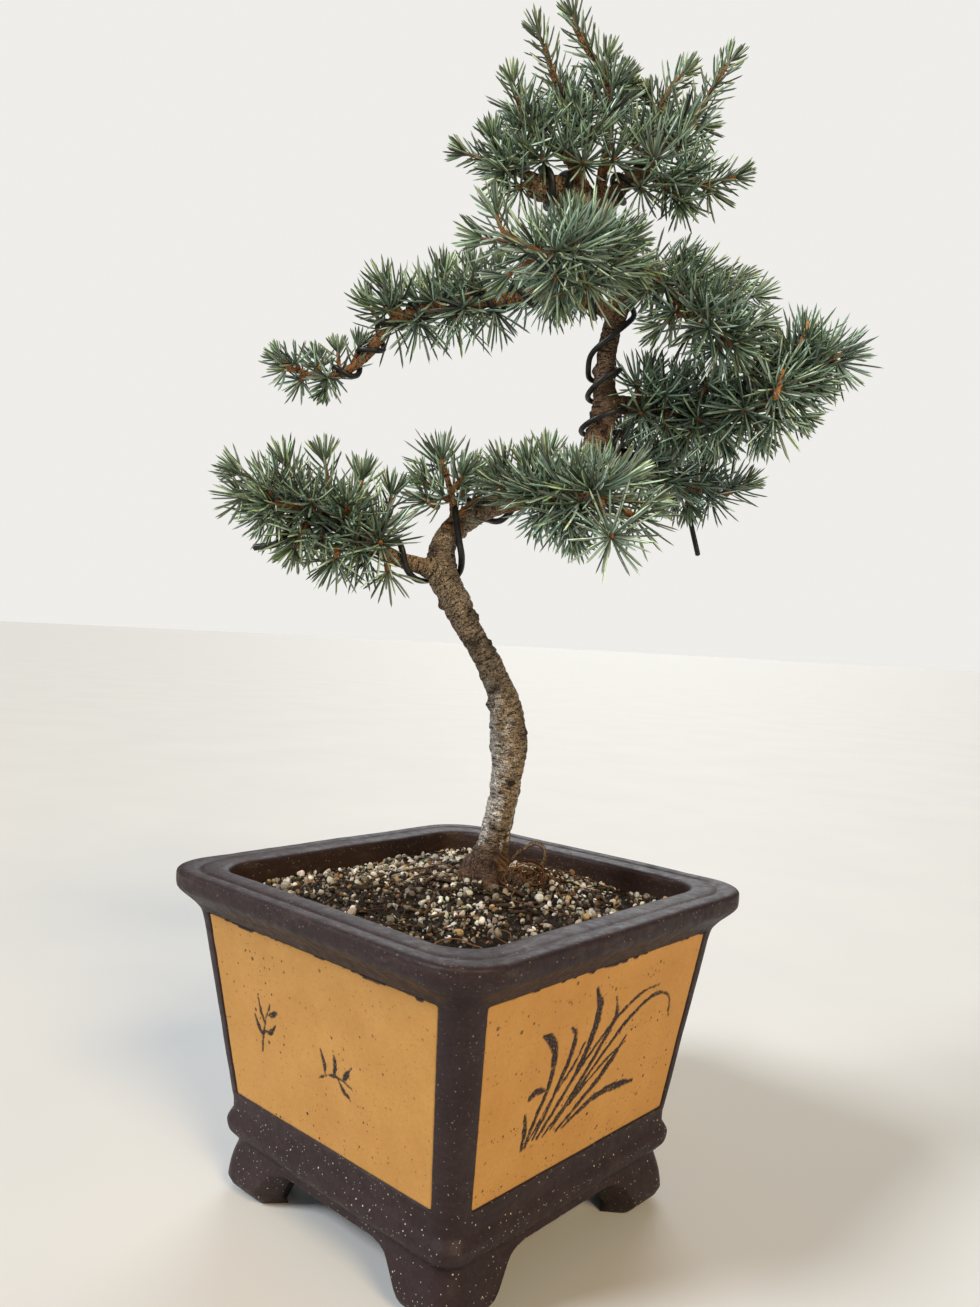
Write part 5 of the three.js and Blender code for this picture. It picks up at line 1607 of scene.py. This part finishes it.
def make_foliage():
    twigs = Shape()
    for number, (node, parts) in enumerate(FOLIAGE.items()):
        rng = np.random.default_rng(100 + number)
        needles = Needles(rng)
        high = "apex" in node
        length = APEX_NEEDLE if high else TIP_NEEDLE if node == "needles_left_tip" else LONG_NEEDLE
        for stretch in parts["spurs"]:
            add_spurs(twigs, needles, *stretch, length)
        for line in parts["shoots"]:
            add_shoot(twigs, needles, line, length, high)
        for line in parts.get("buds", []):
            path = line_through(line, 1.0)
            radii = 1.35 * np.linspace(1, 0.55, len(path)) * (1 + 0.2 * np.cos(np.arange(len(path)) * 2.1))
            twigs.add(*tube(path, radii, 7), TWIG_ORANGE * 1.6)
        for place, facing, count, reach in parts["stars"]:
            place, facing = np.array(place, float), unit(facing)
            spur = spur_shape(place - facing * 6, place + facing * 1.6, 1.3)
            twigs.add(*spur, TWIG_ORANGE * rng.uniform(0.6, 1.0))
            # Stars that face the viewer get painted light: their needles are drawn paler.
            paleness = 0.35 if count > FULL_STAR else 0
            needles.rosette(place, facing, round(count * 0.85), reach, (14, 88), 0.3, paleness)
        needles.piece(node.replace("needles", "foliage"))
    twigs.points = [tree_to_pot(p) for p in twigs.points]
    settle(twigs.piece("twigs"), TWIG, "bark")


make_pot()
for side, (name, strokes) in enumerate(
    [
        ("panel_front_left", SPRIGS),
        ("panel_front_right", GRASS),
        ("panel_back_right", []),
        ("panel_back_left", []),
    ]
):
    make_panel(side, name, strokes)
make_soil()
make_grit()
make_litter()
make_wood()
make_wires()
make_foliage()
for node, material in (("drain_mesh", PLASTIC), ("mesh_staple", WIRE)):
    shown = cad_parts[node]
    shown.data.materials.clear()
    shown.data.materials.append(material)

# ---- Stage, light and camera ----

FLOOR_REACH, FLOOR_GAP = 40.0, 0.0002  # metres


def stage_material():
    n = Nodes("pale_floor", roughness=0.6, specular=0.2)
    shade = n.ramp(n.noise(6, 2), 0.3, 0.7)
    return n.finish(n.mix(shade, (0.60, 0.60, 0.60), (0.625, 0.625, 0.62)))


def make_stage():
    mesh = bpy.data.meshes.new("floor")
    turns = ((-1, -1), (1, -1), (1, 1), (-1, 1))
    corners = [(x * FLOOR_REACH, y * FLOOR_REACH, -FLOOR_GAP) for x, y in turns]
    mesh.from_pydata(corners, [], [(0, 1, 2, 3)])
    floor = bpy.data.objects.new("floor", mesh)
    bpy.context.scene.collection.objects.link(floor)
    floor.data.materials.append(stage_material())


def add_sun(name, toward, strength, spread, colour):
    light = bpy.data.lights.new(name, "SUN")
    light.energy, light.angle, light.color = strength, math.radians(spread), colour
    lamp = bpy.data.objects.new(name, light)
    bpy.context.scene.collection.objects.link(lamp)
    lamp.rotation_euler = Vector(toward).to_track_quat("Z", "Y").to_euler()


def make_lights():
    bpy.context.scene.view_settings.view_transform = "Standard"
    world = bpy.data.worlds.new("studio")
    bpy.context.scene.world = world
    world.use_nodes = True
    nodes, links = world.node_tree.nodes, world.node_tree.links
    shown, lit = nodes["Background"], nodes.new("ShaderNodeBackground")
    shown.inputs[0].default_value, shown.inputs[1].default_value = (0.925, 0.915, 0.89, 1), 0.93
    lit.inputs[0].default_value, lit.inputs[1].default_value = (0.86, 0.94, 1.0, 1), 0.23
    path, pick = nodes.new("ShaderNodeLightPath"), nodes.new("ShaderNodeMixShader")
    links.new(path.outputs["Is Camera Ray"], pick.inputs[0])
    links.new(lit.outputs[0], pick.inputs[1])
    links.new(shown.outputs[0], pick.inputs[2])
    links.new(pick.outputs[0], nodes["World Output"].inputs[0])
    add_sun("window", (-0.45, -1.0, 0.95), 2.7, 16, (0.95, 0.98, 1.0))
    add_sun("lamp", (1.0, -0.30, 0.75), 2.1, 20, (1.0, 0.77, 0.44))
    add_sun("behind", (-0.7, 1.0, 0.8), 1.2, 40, (0.96, 0.98, 1.0))


CAMERA_PLACE = (0.28707, -0.30254, 0.23214)
CAMERA_AZIMUTH, CAMERA_ELEVATION, CAMERA_ROLL = 42.52, 0.76, 2.946
LENS = 27.47


def make_camera():
    camera = bpy.data.objects.new("camera", bpy.data.cameras.new("camera"))
    bpy.context.scene.collection.objects.link(camera)
    bpy.context.scene.camera = camera
    camera.data.lens = LENS
    camera.data.sensor_width = 36
    camera.data.clip_start, camera.data.clip_end = 0.01, 50
    a, e, r = (math.radians(v) for v in (CAMERA_AZIMUTH, CAMERA_ELEVATION, CAMERA_ROLL))
    back = Vector((math.sin(a) * math.cos(e), -math.cos(a) * math.cos(e), math.sin(e)))
    right = (-back).cross(Vector((0, 0, 1))).normalized()
    up = right.cross(-back)
    across = right * math.cos(r) + up * math.sin(r)
    rise = up * math.cos(r) - right * math.sin(r)
    turn = camera.matrix_world.to_3x3()
    turn.col[0], turn.col[1], turn.col[2] = across, rise, back
    camera.matrix_world = turn.to_4x4()
    camera.location = Vector(CAMERA_PLACE) + Vector(POT_MIDDLE)


make_stage()
make_lights()
make_camera()
